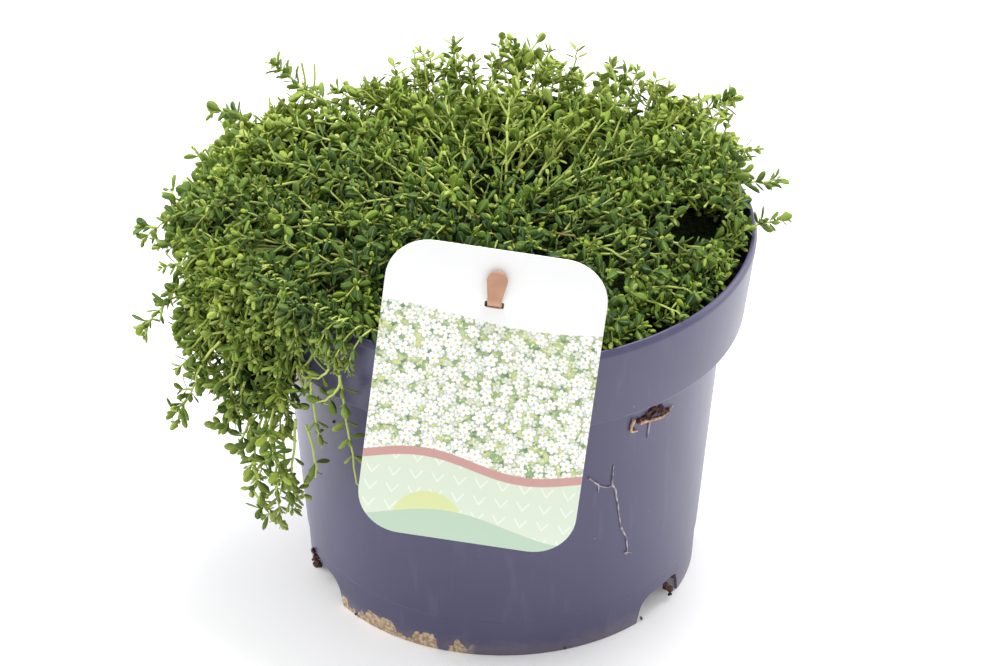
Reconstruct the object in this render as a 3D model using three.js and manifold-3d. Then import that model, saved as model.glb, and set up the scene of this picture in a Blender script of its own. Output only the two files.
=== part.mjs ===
// A creeping thyme in a round plastic nursery pot, with its picture label on a stake.
// Millimetres, +Z up. +X is to the viewer's right, -Y is the front, where the label hangs.
// Sizes and places are about the pot's axis and its foot. At the end the whole plant is moved so that
// the origin is the middle of the bottom of its box.
import * as THREE from "three";
import { mergeVertices } from "three/addons/utils/BufferGeometryUtils.js";
import Module from "manifold-3d";

const wasm = await Module();
wasm.setup();

const DEG = Math.PI / 180;
const SHORTEST_EDGE = 0.03;
const WELDS = [0.012, 0.017, 0.023, 0.031];

// Pot: a thin moulded wall with a stepped collar at the top and a skirt at the foot.
const POT_SEGMENTS = 40;
const WALL = 1.3;
const RIM_RADIUS = 95;
const RIM_HEIGHT = 146.7;
const LIP_DROP = 2.2;
const LIP_INSET = 1.35;
const LIP_WIDTH = 0.9;
const LIP_ROUND = 0.5;
const LIP_CHAMFER = 1.2;
const COLLAR_BOTTOM_RADIUS = 91;
const COLLAR_BOTTOM_HEIGHT = 112.6;
const BODY_TOP_RADIUS = 83.4;
const SKIRT_TOP_HEIGHT = 16.3;
const SKIRT_TOP_RADIUS = 75.4;
const SKIRT_STEP = 0.5;
const FOOT_RADIUS = 74;
const FLOOR_UNDERSIDE = 11;
const FLOOR_THICKNESS = 1.5;
const FLOOR_CORNER = 0.6;

// Drain notches: three arches in the skirt, each with a round hole in the floor above it.
const NOTCH_AZIMUTHS = [-35.5, -155.5, 84.5];
const NOTCH_WIDTH = 24;
const NOTCH_HEIGHT = 10.8;
const NOTCH_CORNER = 6;
const NOTCH_SPLAY = 2;
const NOTCH_DEPTH = 16;
const DRAIN_HOLE_RADIUS = 4.5;
const DRAIN_HOLE_CENTRE = 64;
const DRAIN_HOLE_SIDES = 10;

// Root ball: the peat inside the pot, with a plug of roots through each drain hole.
const FIT_GAP = 0.3;
const SOIL_TOP = 131;
const SOIL_MID_RADIUS = 40;
const SOIL_EDGE_RADIUS = 82;
const SOIL_EDGE_DROP = 3;
const ROOT_PLUG_LENGTH = 6;
const SOIL_SHOULDER = 8;

// Label: a plastic card leaning back over the rim on the head of its stake.
const CARD_WIDTH = 80;
const CARD_HEIGHT = 120;
const CARD_THICKNESS = 0.6;
const CARD_CORNER = 16.3;
const CARD_CENTRE = new THREE.Vector3(-7.5, -97.3, 133.6);
const CARD_LEAN = 6.5 * DEG;
const CARD_TURN = -4.8 * DEG;
const CARD_ROLL = -6.2 * DEG;
const SLOT_WIDTH = 7;
const SLOT_HEIGHT = 2.6;
const SLOT_ABOVE_CENTRE = 38;

// Stake: a flat brown strip, with a paddle head in front of the card.
const STAKE_NECK = 5.2;
const STAKE_HEAD = 7.6;
const STAKE_THICKNESS = 1;
const STAKE_HEAD_LENGTH = 14.5;
const STAKE_POINT_LENGTH = 12;
const STAKE_POINT_SHARE = 0.3;
const STAKE_FOOT_Y = -74;
const STAKE_FOOT_HEIGHT = 80;
const STAKE_BEND_Y = -85.5;

// Foliage: an envelope that the shoot tips reach. Angles are azimuths from +X towards +Y.
const MAT_RADIUS = 91;
const MAT_CROWN = 8;
const EDGE_MEAN = 8;
const EDGE_SWING = 13;
const EDGE_HIGH_AZIMUTH = 100;
const SPILL = { centre: 177, half: 54, reach: 32, drop: 30 };
const CURTAIN = { centre: 213, half: 31, drop: 62 };
const SPILL_TURN = 0.76 * Math.PI;
// The far edge of the bush is uneven: how far it falls short of the envelope, by azimuth.
const HOLLOWS = [
  [15, 3], [30, 6], [40, 9], [50, 0], [56, 1], [63, 8], [68, 15], [74, 11], [80, 3], [90, 2],
  [97, 12], [105, 12], [111, 4], [119, 12], [125, 12], [132, 3], [145, 4], [160, 0],
];
const HOLLOW_FROM = 0.5;
const CORE_DEPTH = 10;
const LUMP = 2.6;
const LOBE_SHARE = 0.78;
const LOBE_THICKNESS = 13;
const LOBE_STEP = 0.8;

// Leaves and stems.
const LEAF_LENGTH = 8;
const LEAF_WIDTH = 4.8;
const LEAF_KEEL = 0.9;
const STEM_RADIUS = 0.75;
const NODE_HEIGHT = 0.9;
const LEAF_RISE = 25 * DEG;
const TIP_LEAF_RISE = 55 * DEG;
const SHOOT_LENGTH = 22;
const SHOOT_PAIRS = 4;
const SHOOT_COUNT = 74;
const SHOOT_TRIES = 400;
const TOP_SHARE = 0.64;

const paint = (color, roughness, metalness = 0) =>
  new THREE.MeshStandardMaterial({ color, roughness, metalness });
const POT_PLASTIC = paint(0x4a4862, 0.5);
const PEAT = paint(0x1f1813, 0.95);
const CARD_PLASTIC = paint(0xf4f5ee, 0.35);
const STAKE_PLASTIC = paint(0xb98a72, 0.5);
const LEAF_GREEN = paint(0x4d7a2c, 0.6);
const STEM_GREEN = paint(0x93a251, 0.6);

// A closed skin as a solid.
function solid(geometry, matrix = new THREE.Matrix4()) {
  const plain = new THREE.BufferGeometry();
  plain.setAttribute("position", geometry.getAttribute("position").clone());
  if (geometry.index) plain.setIndex(geometry.index.clone());
  plain.applyMatrix4(matrix);
  const merged = mergeVertices(plain, 1e-4);
  return new wasm.Manifold(
    new wasm.Mesh({
      numProp: 3,
      vertProperties: merged.getAttribute("position").array,
      triVerts: new Uint32Array(merged.index.array),
    }),
  );
}

function joined(solids) {
  let level = solids;
  while (level.length > 1) {
    const next = [];
    for (let i = 0; i < level.length; i += 2) {
      next.push(i + 1 < level.length ? level[i].add(level[i + 1]) : level[i]);
    }
    level = next;
  }
  return level[0];
}

// The largest piece of a joined shape. Corners closer than a hair are welded into one, in rounds
// of growing size, so that no sliver is left.
function outerShell(shape) {
  return WELDS.reduce((rough, size) => {
    const { vertProperties, triVerts } = rough.simplify(SHORTEST_EDGE).getMesh();
    const geometry = new THREE.BufferGeometry();
    geometry.setAttribute("position", new THREE.BufferAttribute(vertProperties, 3));
    geometry.setIndex(new THREE.BufferAttribute(triVerts, 1));
    const welded = mergeVertices(geometry, size);
    const index = Array.from(welded.index.array);
    const kept = [];
    for (let i = 0; i < index.length; i += 3) {
      const [a, b, c] = index.slice(i, i + 3);
      if (a !== b && b !== c && c !== a) kept.push(a, b, c);
    }
    welded.setIndex(kept);
    return solid(welded).decompose().reduce((a, b) => (b.volume() > a.volume() ? b : a));
  }, shape);
}

function named(name, shape, material) {
  const { vertProperties, triVerts } = shape.getMesh();
  const geometry = new THREE.BufferGeometry();
  geometry.setAttribute("position", new THREE.BufferAttribute(vertProperties, 3));
  geometry.setIndex(new THREE.BufferAttribute(triVerts, 1));
  geometry.computeVertexNormals();
  const mesh = new THREE.Mesh(geometry, material);
  mesh.name = name;
  return mesh;
}

// Turns a profile of radius and height points, from axis to axis, about +Z.
function lathe(profile) {
  const points = profile.map(([r, z]) => new THREE.Vector2(r, z));
  const geometry = new THREE.LatheGeometry(points, POT_SEGMENTS);
  return solid(geometry, new THREE.Matrix4().makeRotationX(Math.PI / 2));
}

// The pot's section, grown by a clearance on both faces of its wall.
const collarSlope = (RIM_RADIUS - COLLAR_BOTTOM_RADIUS) / (RIM_HEIGHT - LIP_DROP - COLLAR_BOTTOM_HEIGHT);
const floorTop = FLOOR_UNDERSIDE + FLOOR_THICKNESS;

function potProfile(grow) {
  const inner = WALL + grow;
  return [
    [0, FLOOR_UNDERSIDE - grow],
    [FOOT_RADIUS - inner + FLOOR_CORNER, FLOOR_UNDERSIDE - grow],
    [FOOT_RADIUS - inner, -grow],
    [FOOT_RADIUS + grow, -grow],
    [SKIRT_TOP_RADIUS - SKIRT_STEP + grow, SKIRT_TOP_HEIGHT],
    [SKIRT_TOP_RADIUS + grow, SKIRT_TOP_HEIGHT + SKIRT_STEP],
    [BODY_TOP_RADIUS + grow, COLLAR_BOTTOM_HEIGHT - grow],
    [COLLAR_BOTTOM_RADIUS + grow, COLLAR_BOTTOM_HEIGHT - grow],
    [RIM_RADIUS - collarSlope * LIP_CHAMFER + grow, RIM_HEIGHT - LIP_DROP - LIP_CHAMFER],
    [RIM_RADIUS + grow, RIM_HEIGHT - LIP_DROP],
    [RIM_RADIUS - LIP_INSET + grow, RIM_HEIGHT + grow],
    [RIM_RADIUS - LIP_INSET - LIP_WIDTH - grow, RIM_HEIGHT - LIP_ROUND + grow],
    [RIM_RADIUS - inner - LIP_CHAMFER, RIM_HEIGHT - 2 * LIP_DROP],
    [COLLAR_BOTTOM_RADIUS - inner, COLLAR_BOTTOM_HEIGHT + inner],
    [BODY_TOP_RADIUS - inner, COLLAR_BOTTOM_HEIGHT + inner],
    [SKIRT_TOP_RADIUS - inner, SKIRT_TOP_HEIGHT + SKIRT_STEP],
    [FOOT_RADIUS + FLOOR_CORNER - inner, floorTop + grow],
    [0, floorTop + grow],
  ];
}

function notchCutter(azimuth) {
  const half = NOTCH_WIDTH / 2;
  const arch = new THREE.Shape();
  arch.moveTo(-half - NOTCH_SPLAY, -1);
  arch.lineTo(half + NOTCH_SPLAY, -1);
  arch.lineTo(half, NOTCH_HEIGHT - NOTCH_CORNER);
  arch.quadraticCurveTo(half - 1, NOTCH_HEIGHT, half - NOTCH_CORNER, NOTCH_HEIGHT);
  arch.lineTo(NOTCH_CORNER - half, NOTCH_HEIGHT);
  arch.quadraticCurveTo(1 - half, NOTCH_HEIGHT, -half, NOTCH_HEIGHT - NOTCH_CORNER);
  const geometry = new THREE.ExtrudeGeometry(arch, {
    depth: NOTCH_DEPTH,
    bevelEnabled: false,
    curveSegments: 4,
  });
  const place = new THREE.Matrix4()
    .makeRotationZ(azimuth * DEG + Math.PI / 2)
    .multiply(new THREE.Matrix4().makeTranslation(0, NOTCH_DEPTH / 2 - FOOT_RADIUS, 0))
    .multiply(new THREE.Matrix4().makeRotationX(Math.PI / 2));
  return solid(geometry, place);
}

function drainPeg(azimuth, radius, low, high) {
  const place = new THREE.Matrix4()
    .makeTranslation(
      DRAIN_HOLE_CENTRE * Math.cos(azimuth * DEG),
      DRAIN_HOLE_CENTRE * Math.sin(azimuth * DEG),
      (low + high) / 2,
    )
    .multiply(new THREE.Matrix4().makeRotationX(Math.PI / 2));
  return solid(new THREE.CylinderGeometry(radius, radius, high - low, DRAIN_HOLE_SIDES), place);
}

function makePot() {
  const holes = NOTCH_AZIMUTHS.map((azimuth) =>
    drainPeg(azimuth, DRAIN_HOLE_RADIUS, FLOOR_UNDERSIDE - 2, floorTop + 2),
  );
  return lathe(potProfile(0)).subtract(joined([...NOTCH_AZIMUTHS.map(notchCutter), ...holes]));
}

// The root ball follows the inside of the pot, and its top is slightly uneven.
function makeSoil() {
  const clear = WALL + FIT_GAP;
  const profile = [
    [0, floorTop + FIT_GAP],
    [FOOT_RADIUS - clear - 0.2, floorTop + FIT_GAP],
    [SKIRT_TOP_RADIUS - clear, SKIRT_TOP_HEIGHT + SKIRT_STEP],
    [BODY_TOP_RADIUS - clear, COLLAR_BOTTOM_HEIGHT + WALL + FIT_GAP],
    [COLLAR_BOTTOM_RADIUS - clear, COLLAR_BOTTOM_HEIGHT + WALL + FIT_GAP],
    [
      COLLAR_BOTTOM_RADIUS - clear + collarSlope * SOIL_SHOULDER - FIT_GAP,
      COLLAR_BOTTOM_HEIGHT + WALL + FIT_GAP + SOIL_SHOULDER,
    ],
    [SOIL_EDGE_RADIUS, SOIL_TOP - SOIL_EDGE_DROP],
    [SOIL_MID_RADIUS, SOIL_TOP],
    [0, SOIL_TOP],
  ];
  const plugs = NOTCH_AZIMUTHS.map((azimuth) =>
    drainPeg(azimuth, DRAIN_HOLE_RADIUS - FIT_GAP, floorTop - ROOT_PLUG_LENGTH, floorTop + 3),
  );
  return joined([lathe(profile), ...plugs]);
}

// The card's own frame: X across its face, Y up its face, Z out of its printed side.
const cardFrame = new THREE.Matrix4()
  .makeTranslation(CARD_CENTRE)
  .multiply(new THREE.Matrix4().makeRotationZ(CARD_TURN))
  .multiply(new THREE.Matrix4().makeRotationX(Math.PI / 2 - CARD_LEAN))
  .multiply(new THREE.Matrix4().makeRotationZ(CARD_ROLL));

function roundedCard(grow) {
  const w = CARD_WIDTH / 2 + grow;
  const h = CARD_HEIGHT / 2 + grow;
  const r = CARD_CORNER;
  const shape = new THREE.Shape();
  shape.moveTo(r - w, -h);
  shape.lineTo(w - r, -h);
  shape.absarc(w - r, r - h, r, -Math.PI / 2, 0);
  shape.lineTo(w, h - r);
  shape.absarc(w - r, h - r, r, 0, Math.PI / 2);
  shape.lineTo(r - w, h);
  shape.absarc(r - w, h - r, r, Math.PI / 2, Math.PI);
  shape.lineTo(-w, r - h);
  shape.absarc(r - w, r - h, r, Math.PI, 1.5 * Math.PI);
  return shape;
}

function cardSolid(grow, slotted) {
  const shape = roundedCard(grow);
  if (slotted) {
    const slot = new THREE.Path();
    slot.moveTo(-SLOT_WIDTH / 2, SLOT_ABOVE_CENTRE - SLOT_HEIGHT / 2);
    slot.lineTo(-SLOT_WIDTH / 2, SLOT_ABOVE_CENTRE + SLOT_HEIGHT / 2);
    slot.lineTo(SLOT_WIDTH / 2, SLOT_ABOVE_CENTRE + SLOT_HEIGHT / 2);
    slot.lineTo(SLOT_WIDTH / 2, SLOT_ABOVE_CENTRE - SLOT_HEIGHT / 2);
    shape.holes.push(slot);
  }
  const depth = CARD_THICKNESS + 2 * grow;
  const geometry = new THREE.ExtrudeGeometry(shape, { depth, bevelEnabled: false, curveSegments: 6 });
  const centred = new THREE.Matrix4().makeTranslation(0, 0, -depth / 2);
  return solid(geometry, cardFrame.clone().multiply(centred));
}

// The strip runs up inside the rim, through the slot, and up in front of the card.
// Its width is across the card, so it is an outline in the card's YZ plane, extruded along X.
function stakeSolid(grow) {
  const t = STAKE_THICKNESS / 2 + grow;
  const inCard = (point) => point.clone().applyMatrix4(cardFrame.clone().invert());
  const foot = inCard(new THREE.Vector3(CARD_CENTRE.x - 3, STAKE_FOOT_Y, STAKE_FOOT_HEIGHT));
  const bend = inCard(new THREE.Vector3(CARD_CENTRE.x, STAKE_BEND_Y, RIM_HEIGHT + 4));
  const line = [
    [foot.z, foot.y],
    [bend.z, bend.y],
    [-2.6, SLOT_ABOVE_CENTRE - 2],
    [0, SLOT_ABOVE_CENTRE],
    [2, SLOT_ABOVE_CENTRE + 1.6],
    [2.4, SLOT_ABOVE_CENTRE + STAKE_HEAD_LENGTH + 2],
  ].map(([z, y]) => new THREE.Vector2(z, y));
  const offset = (side) =>
    line.map((p, i) => {
      const before = line[Math.max(i - 1, 0)];
      const after = line[Math.min(i + 1, line.length - 1)];
      const along = after.clone().sub(before).normalize();
      return new THREE.Vector2(p.x - along.y * side * t, p.y + along.x * side * t);
    });
  const strip = new THREE.Shape([...offset(-1), ...offset(1).reverse()]);
  const width = STAKE_HEAD + 2 * grow;
  const across = new THREE.ExtrudeGeometry(strip, { depth: width, bevelEnabled: false });
  const turn = new THREE.Matrix4().makeBasis(
    new THREE.Vector3(0, 0, 1),
    new THREE.Vector3(0, 1, 0),
    new THREE.Vector3(-1, 0, 0),
  );
  const centred = new THREE.Matrix4().makeTranslation(width / 2, 0, 0);
  const blank = solid(across, cardFrame.clone().multiply(centred).multiply(turn));

  const neck = STAKE_NECK / 2 + grow;
  const head = STAKE_HEAD / 2 + grow;
  const top = SLOT_ABOVE_CENTRE + STAKE_HEAD_LENGTH + grow;
  const face = new THREE.Shape();
  face.moveTo(-neck * STAKE_POINT_SHARE, foot.y - 1);
  face.lineTo(neck * STAKE_POINT_SHARE, foot.y - 1);
  face.lineTo(neck, foot.y + STAKE_POINT_LENGTH);
  face.lineTo(neck, SLOT_ABOVE_CENTRE + 3);
  face.lineTo(head, top - head);
  face.absarc(0, top - head, head, 0, Math.PI);
  face.lineTo(-neck, SLOT_ABOVE_CENTRE + 3);
  face.lineTo(-neck, foot.y + STAKE_POINT_LENGTH);
  const plan = new THREE.ExtrudeGeometry(face, { depth: 60, bevelEnabled: false, curveSegments: 8 });
  const cutter = solid(plan, cardFrame.clone().multiply(new THREE.Matrix4().makeTranslation(0, 0, -40)));
  return blank.intersect(cutter);
}

const fraction = (value) => value - Math.floor(value);

// Foliage envelope. across runs 0 to 1 from the axis to the rim, and 1 to 2 over the rim.
function bump(azimuth, { centre, half }) {
  const away = Math.abs(((azimuth - centre + 540) % 360) - 180);
  return away < half ? Math.cos(((away / half) * Math.PI) / 2) : 0;
}

function hollow(azimuth) {
  const after = HOLLOWS.findIndex(([at]) => at > azimuth);
  if (after < 1) return 0;
  const [[from, low], [to, high]] = [HOLLOWS[after - 1], HOLLOWS[after]];
  return low + ((high - low) * (azimuth - from)) / (to - from);
}

function envelope(azimuth, across) {
  const inside = Math.min(across, 1);
  const swing = EDGE_SWING * Math.cos((azimuth - EDGE_HIGH_AZIMUTH) * DEG);
  const dip = (hollow(azimuth) * Math.max(0, inside - HOLLOW_FROM)) / (1 - HOLLOW_FROM);
  let r = MAT_RADIUS * inside;
  let z = RIM_HEIGHT + EDGE_MEAN + swing * inside ** 1.5 + MAT_CROWN * (1 - inside ** 2) - dip;
  if (across > 1) {
    const over = across - 1;
    const spill = bump(azimuth, SPILL);
    r += SPILL.reach * spill * Math.sin(SPILL_TURN * over);
    z -= (SPILL.drop * spill + CURTAIN.drop * bump(azimuth, CURTAIN)) * over ** 1.5;
  }
  return new THREE.Vector3(r * Math.cos(azimuth * DEG), r * Math.sin(azimuth * DEG), z);
}

// Outward normal and the direction in which stems run over the envelope, away from the crown.
function envelopeFrame(azimuth, across) {
  const step = 0.02;
  const flow = envelope(azimuth, across + step).sub(envelope(azimuth, across - step)).normalize();
  const round = new THREE.Vector3(-Math.sin(azimuth * DEG), Math.cos(azimuth * DEG), 0);
  const normal = new THREE.Vector3().crossVectors(flow, round).normalize();
  return { flow, round, normal };
}

// The core of the mat: a disc of tangled stems on the peat, and a lobe over the left of the rim.
function makeCore() {
  const rings = [0.2, 0.4, 0.6, 0.78, 0.92, 0.99];
  const steps = POT_SEGMENTS;
  const floor = SOIL_TOP + FIT_GAP;
  const profileAt = (azimuth) => {
    const top = rings.map((across, i) => {
      const p = envelope(azimuth, across);
      const r = Math.hypot(p.x, p.y) * 0.975;
      const lump = LUMP * (2 * fraction(azimuth * 7.31 + i * 0.619) - 1);
      return [r, Math.max(p.z - CORE_DEPTH + lump, floor + 2)];
    });
    return [...top, [84, floor + 1], [80, floor]];
  };
  const crown = envelope(0, 0).z - CORE_DEPTH;
  return loft(steps, (k) => profileAt((360 / steps) * k), [0, crown], [0, floor]);
}

// A body of revolution whose profile changes with azimuth, closed by a point at each end of the axis.
function loft(steps, profileAt, first, last) {
  const profiles = Array.from({ length: steps }, (_, k) => profileAt(k));
  const count = profiles[0].length;
  const vertices = [0, 0, first[1]];
  profiles.forEach((profile, k) => {
    const azimuth = (2 * Math.PI * k) / steps;
    profile.forEach(([r, z]) => vertices.push(r * Math.cos(azimuth), r * Math.sin(azimuth), z));
  });
  vertices.push(0, 0, last[1]);
  const at = (k, i) => 1 + (k % steps) * count + i;
  const end = 1 + steps * count;
  const faces = [];
  for (let k = 0; k < steps; k += 1) {
    faces.push(0, at(k, 0), at(k + 1, 0));
    for (let i = 0; i + 1 < count; i += 1) {
      faces.push(at(k, i), at(k, i + 1), at(k + 1, i + 1));
      faces.push(at(k, i), at(k + 1, i + 1), at(k + 1, i));
    }
    faces.push(end, at(k + 1, count - 1), at(k, count - 1));
  }
  const geometry = new THREE.BufferGeometry();
  geometry.setAttribute("position", new THREE.Float32BufferAttribute(vertices, 3));
  geometry.setIndex(faces);
  return solid(geometry);
}

// The lobe lies on the rim and hangs outside the pot: each section is an outer face and a back.
function makeLobe() {
  const steps = 13;
  const overs = [-0.22, 0, 0.17, 0.36, 0.56, 0.74, 0.9];
  const sections = [];
  for (let k = 0; k <= steps; k += 1) {
    const aside = (2 * k) / steps - 1;
    const azimuth = SPILL.centre + SPILL.half * LOBE_SHARE * aside;
    const reach = 1 - 0.45 * aside ** 4;
    const face = [];
    const back = [];
    let above = Infinity;
    overs.forEach((share) => {
      const over = share * reach;
      const depth = CORE_DEPTH * (over < 0.2 ? 0.75 : 1);
      const p = envelope(azimuth, 1 + over).addScaledVector(envelopeFrame(azimuth, 1 + over).normal, -depth);
      const lump = LUMP * (2 * fraction(azimuth * 5.77 + over * 9.1) - 1);
      const r = Math.hypot(p.x, p.y) + lump;
      if (over > 0) {
        const behind = Math.max(RIM_RADIUS + 1, r - LOBE_THICKNESS);
        above = Math.min(p.z, above - LOBE_STEP);
        face.push([Math.max(r, behind + 2), above]);
        back.unshift([behind, above - 1.5]);
      } else {
        face.push([r, Math.max(p.z, RIM_HEIGHT + 3)]);
        back.unshift([r, RIM_HEIGHT + 1]);
      }
    });
    sections.push({ azimuth, section: [...face, ...back] });
  }
  return loftOpen(sections);
}

// A body lofted through sections at successive azimuths. In each section the second half of the
// points runs back along the first, so that a strip between the halves closes each end.
function loftOpen(sections) {
  const count = sections[0].section.length;
  const vertices = [];
  sections.forEach(({ azimuth, section }) =>
    section.forEach(([r, z]) => {
      vertices.push(r * Math.cos(azimuth * DEG), r * Math.sin(azimuth * DEG), z);
    }),
  );
  const at = (k, i) => k * count + (i % count);
  const faces = [];
  for (let k = 0; k + 1 < sections.length; k += 1) {
    for (let i = 0; i < count; i += 1) {
      faces.push(at(k, i), at(k, i + 1), at(k + 1, i + 1));
      faces.push(at(k, i), at(k + 1, i + 1), at(k + 1, i));
    }
  }
  const last = sections.length - 1;
  for (let i = 0; i + 1 < count / 2; i += 1) {
    const [j, m, n] = [i + 1, count - 2 - i, count - 1 - i];
    faces.push(at(0, j), at(0, i), at(0, n), at(0, j), at(0, n), at(0, m));
    faces.push(at(last, i), at(last, j), at(last, m), at(last, i), at(last, m), at(last, n));
  }
  const geometry = new THREE.BufferGeometry();
  geometry.setAttribute("position", new THREE.Float32BufferAttribute(vertices, 3));
  geometry.setIndex(faces);
  return solid(geometry);
}

// A leafy stem as one skin. The stem has four sides, and at each node two opposite sides grow a
// leaf each, a quarter round from the pair below. A leaf is flat on top, with a keel below.
function leafyStem(curve, { pairs, from, twist, grow = 0 }) {
  const vertices = [];
  const faces = [];
  const add = (point) => vertices.push(point.x, point.y, point.z) / 3 - 1;
  const first = curve.getTangent(0);
  const lead = Math.abs(first.z) > 0.8 ? new THREE.Vector3(1, 0, 0) : new THREE.Vector3(0, 0, 1);
  const frameAt = (along) => {
    const tangent = curve.getTangentAt(along);
    const across = new THREE.Vector3().crossVectors(tangent, lead).normalize();
    const side = (turn) => across.clone().applyAxisAngle(tangent, twist + (turn * Math.PI) / 2);
    return { centre: curve.getPointAt(along), tangent, side };
  };
  const ring = ({ centre, tangent, side }, along, lift) => {
    const r = (STEM_RADIUS + grow) * (1.15 - 0.5 * along);
    return [0, 1, 2, 3].map((i) =>
      add(centre.clone().addScaledVector(tangent, lift).addScaledVector(side(i - 0.5), r)),
    );
  };
  const wall = (low, high, i) => {
    const j = (i + 1) % 4;
    faces.push(low[i], low[j], high[j], low[i], high[j], high[i]);
  };

  const start = ring(frameAt(0), 0, 0);
  faces.push(start[0], start[2], start[1], start[0], start[3], start[2]);
  let below = start;
  for (let k = 0; k < pairs; k += 1) {
    const along = from + ((0.97 - from) * k) / (pairs - 1);
    const frame = frameAt(along);
    const low = ring(frame, along, -NODE_HEIGHT / 2 - grow);
    const high = ring(frame, along, NODE_HEIGHT / 2 + grow);
    for (let i = 0; i < 4; i += 1) {
      wall(below, low, i);
      if (i % 2 === k % 2) {
        const size = 1 - 0.25 * Math.abs((2 * k) / (pairs - 1) - 1);
        const rise = k === pairs - 1 ? TIP_LEAF_RISE : LEAF_RISE;
        growLeaf(frame, low, high, i, size, rise, grow, add, faces);
      } else {
        wall(low, high, i);
      }
    }
    below = high;
  }
  faces.push(below[0], below[1], below[2], below[0], below[2], below[3]);
  const geometry = new THREE.BufferGeometry();
  geometry.setAttribute("position", new THREE.Float32BufferAttribute(vertices, 3));
  geometry.setIndex(faces);
  return solid(geometry);
}

function growLeaf({ centre, tangent, side }, low, high, i, size, rise, grow, add, faces) {
  const j = (i + 1) % 4;
  const face = side(i);
  const out = face.clone().multiplyScalar(Math.cos(rise)).addScaledVector(tangent, Math.sin(rise));
  const up = tangent.clone().multiplyScalar(Math.cos(rise)).addScaledVector(face, -Math.sin(rise));
  const across = side(i + 1);
  const point = (along, aside, lift) =>
    add(centre.clone().addScaledVector(out, along).addScaledVector(across, aside).addScaledVector(up, lift));
  const length = LEAF_LENGTH * size;
  const half = (LEAF_WIDTH * size) / 2 + 1.5 * grow;
  const top = NODE_HEIGHT / 2 + grow;
  const left = point(0.6 * length, -half, top);
  const right = point(0.6 * length, half, top);
  const tip = point(length + 2 * grow, 0, top);
  const keel = point(0.5 * length, 0, top - LEAF_KEEL - 2 * grow);
  faces.push(high[i], left, right, high[i], right, high[j], left, tip, right);
  faces.push(low[i], low[j], keel, low[i], keel, left, low[i], left, high[i]);
  faces.push(low[j], right, keel, low[j], high[j], right, left, keel, tip, right, tip, keel);
}

// A short shoot whose tip is on the envelope and whose root is sunk in the core.
function shootCurve(index) {
  const first = fraction(0.5 + index * 0.7548776662);
  const second = fraction(0.5 + index * 0.5698402909);
  const onTop = first < TOP_SHARE;
  const azimuth = onTop ? 360 * second : SPILL.centre + SPILL.half * (1.72 * second - 0.86);
  const across = onTop ? Math.sqrt(first / TOP_SHARE) : 1.04 + (first - TOP_SHARE) / (1 - TOP_SHARE);
  const { flow, round, normal } = envelopeFrame(azimuth, across);
  const tip = envelope(azimuth, across);
  const sway = 0.5 * Math.sin(index * 2.4);
  const run = flow.clone().addScaledVector(round, sway).normalize();
  const root = tip
    .clone()
    .addScaledVector(normal, -(CORE_DEPTH + 4))
    .addScaledVector(run, -0.55 * SHOOT_LENGTH);
  const bend = tip
    .clone()
    .addScaledVector(normal, -0.6 * CORE_DEPTH)
    .addScaledVector(run, -0.12 * SHOOT_LENGTH);
  return new THREE.QuadraticBezierCurve3(root, bend, tip);
}

// Long stems that stand clear of the mat: root in the mat, a point on the way, and the tip.
const LONG_STEMS = [
  { root: [60, -19, 142], way: [85, -12, 153], tip: [105, 1, 151], pairs: 5 },
  { root: [58, 16, 146], way: [84, 20, 154], tip: [103, 24, 152], pairs: 5 },
  { root: [62, 40, 147], way: [81, 42, 156], tip: [96, 42, 157], pairs: 4 },
  { root: [60, 56, 147], way: [75, 62, 160], tip: [86, 62, 167], pairs: 4 },
  { root: [34, 62, 147], way: [39, 74, 160], tip: [42, 81, 167], pairs: 4 },
  { root: [6, 58, 148], way: [5, 72, 165], tip: [4, 80, 178], pairs: 5 },
  { root: [-18, 60, 148], way: [-19, 74, 164], tip: [-19, 80, 177], pairs: 4 },
  { root: [-60, 56, 150], way: [-76, 67, 163], tip: [-88, 74, 171], pairs: 5 },
  { root: [-84, 44, 149], way: [-100, 54, 159], tip: [-111, 60, 158], pairs: 5 },
  { root: [-100, 2, 141], way: [-118, 2, 148], tip: [-134, 0, 139], pairs: 5 },
  { root: [-102, -22, 131], way: [-121, -24, 129], tip: [-134, -24, 112], pairs: 5 },
  { root: [-99, -35, 113], way: [-113, -37, 100], tip: [-122, -34, 79], pairs: 5 },
  { root: [-81, -53, 113], way: [-92, -58, 80], tip: [-83, -56, 48], pairs: 7 },
  { root: [-78, -58, 119], way: [-85, -69, 96], tip: [-73, -64, 66], pairs: 5 },
];

function longStem({ root, way, tip, pairs }, index, grow) {
  const [a, b, c] = [root, way, tip].map((p) => new THREE.Vector3(...p));
  const bend = b.clone().multiplyScalar(2).addScaledVector(a, -0.5).addScaledVector(c, -0.5);
  const curve = new THREE.QuadraticBezierCurve3(a, bend, c);
  return leafyStem(curve, { pairs, from: 0.42, twist: index, grow });
}

const stake = stakeSolid(0);
const stakeClear = stakeSolid(FIT_GAP);
const pot = makePot();
const cardClear = cardSolid(FIT_GAP, false);
const longStems = LONG_STEMS.map((stem, i) => longStem(stem, i, 0));
const longStemsClear = LONG_STEMS.map((stem, i) => longStem(stem, i, FIT_GAP + 0.05));
const soil = outerShell(makeSoil().subtract(stakeClear));

const potClear = lathe(potProfile(2 * FIT_GAP));
const keepOut = joined([potClear, cardClear, stakeClear, ...longStemsClear]);
const shoots = [];
let taken = keepOut;
for (let i = 0; i < SHOOT_TRIES && shoots.length < SHOOT_COUNT; i += 1) {
  const shoot = leafyStem(shootCurve(i), { pairs: SHOOT_PAIRS, from: 0.45, twist: 2.1 * i });
  if (shoot.intersect(taken).isEmpty()) {
    shoots.push(shoot);
    taken = taken.add(shoot);
  }
}
const core = joined([makeCore(), makeLobe()]).subtract(keepOut);
const mat = outerShell(joined([core, ...shoots]));

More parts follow.
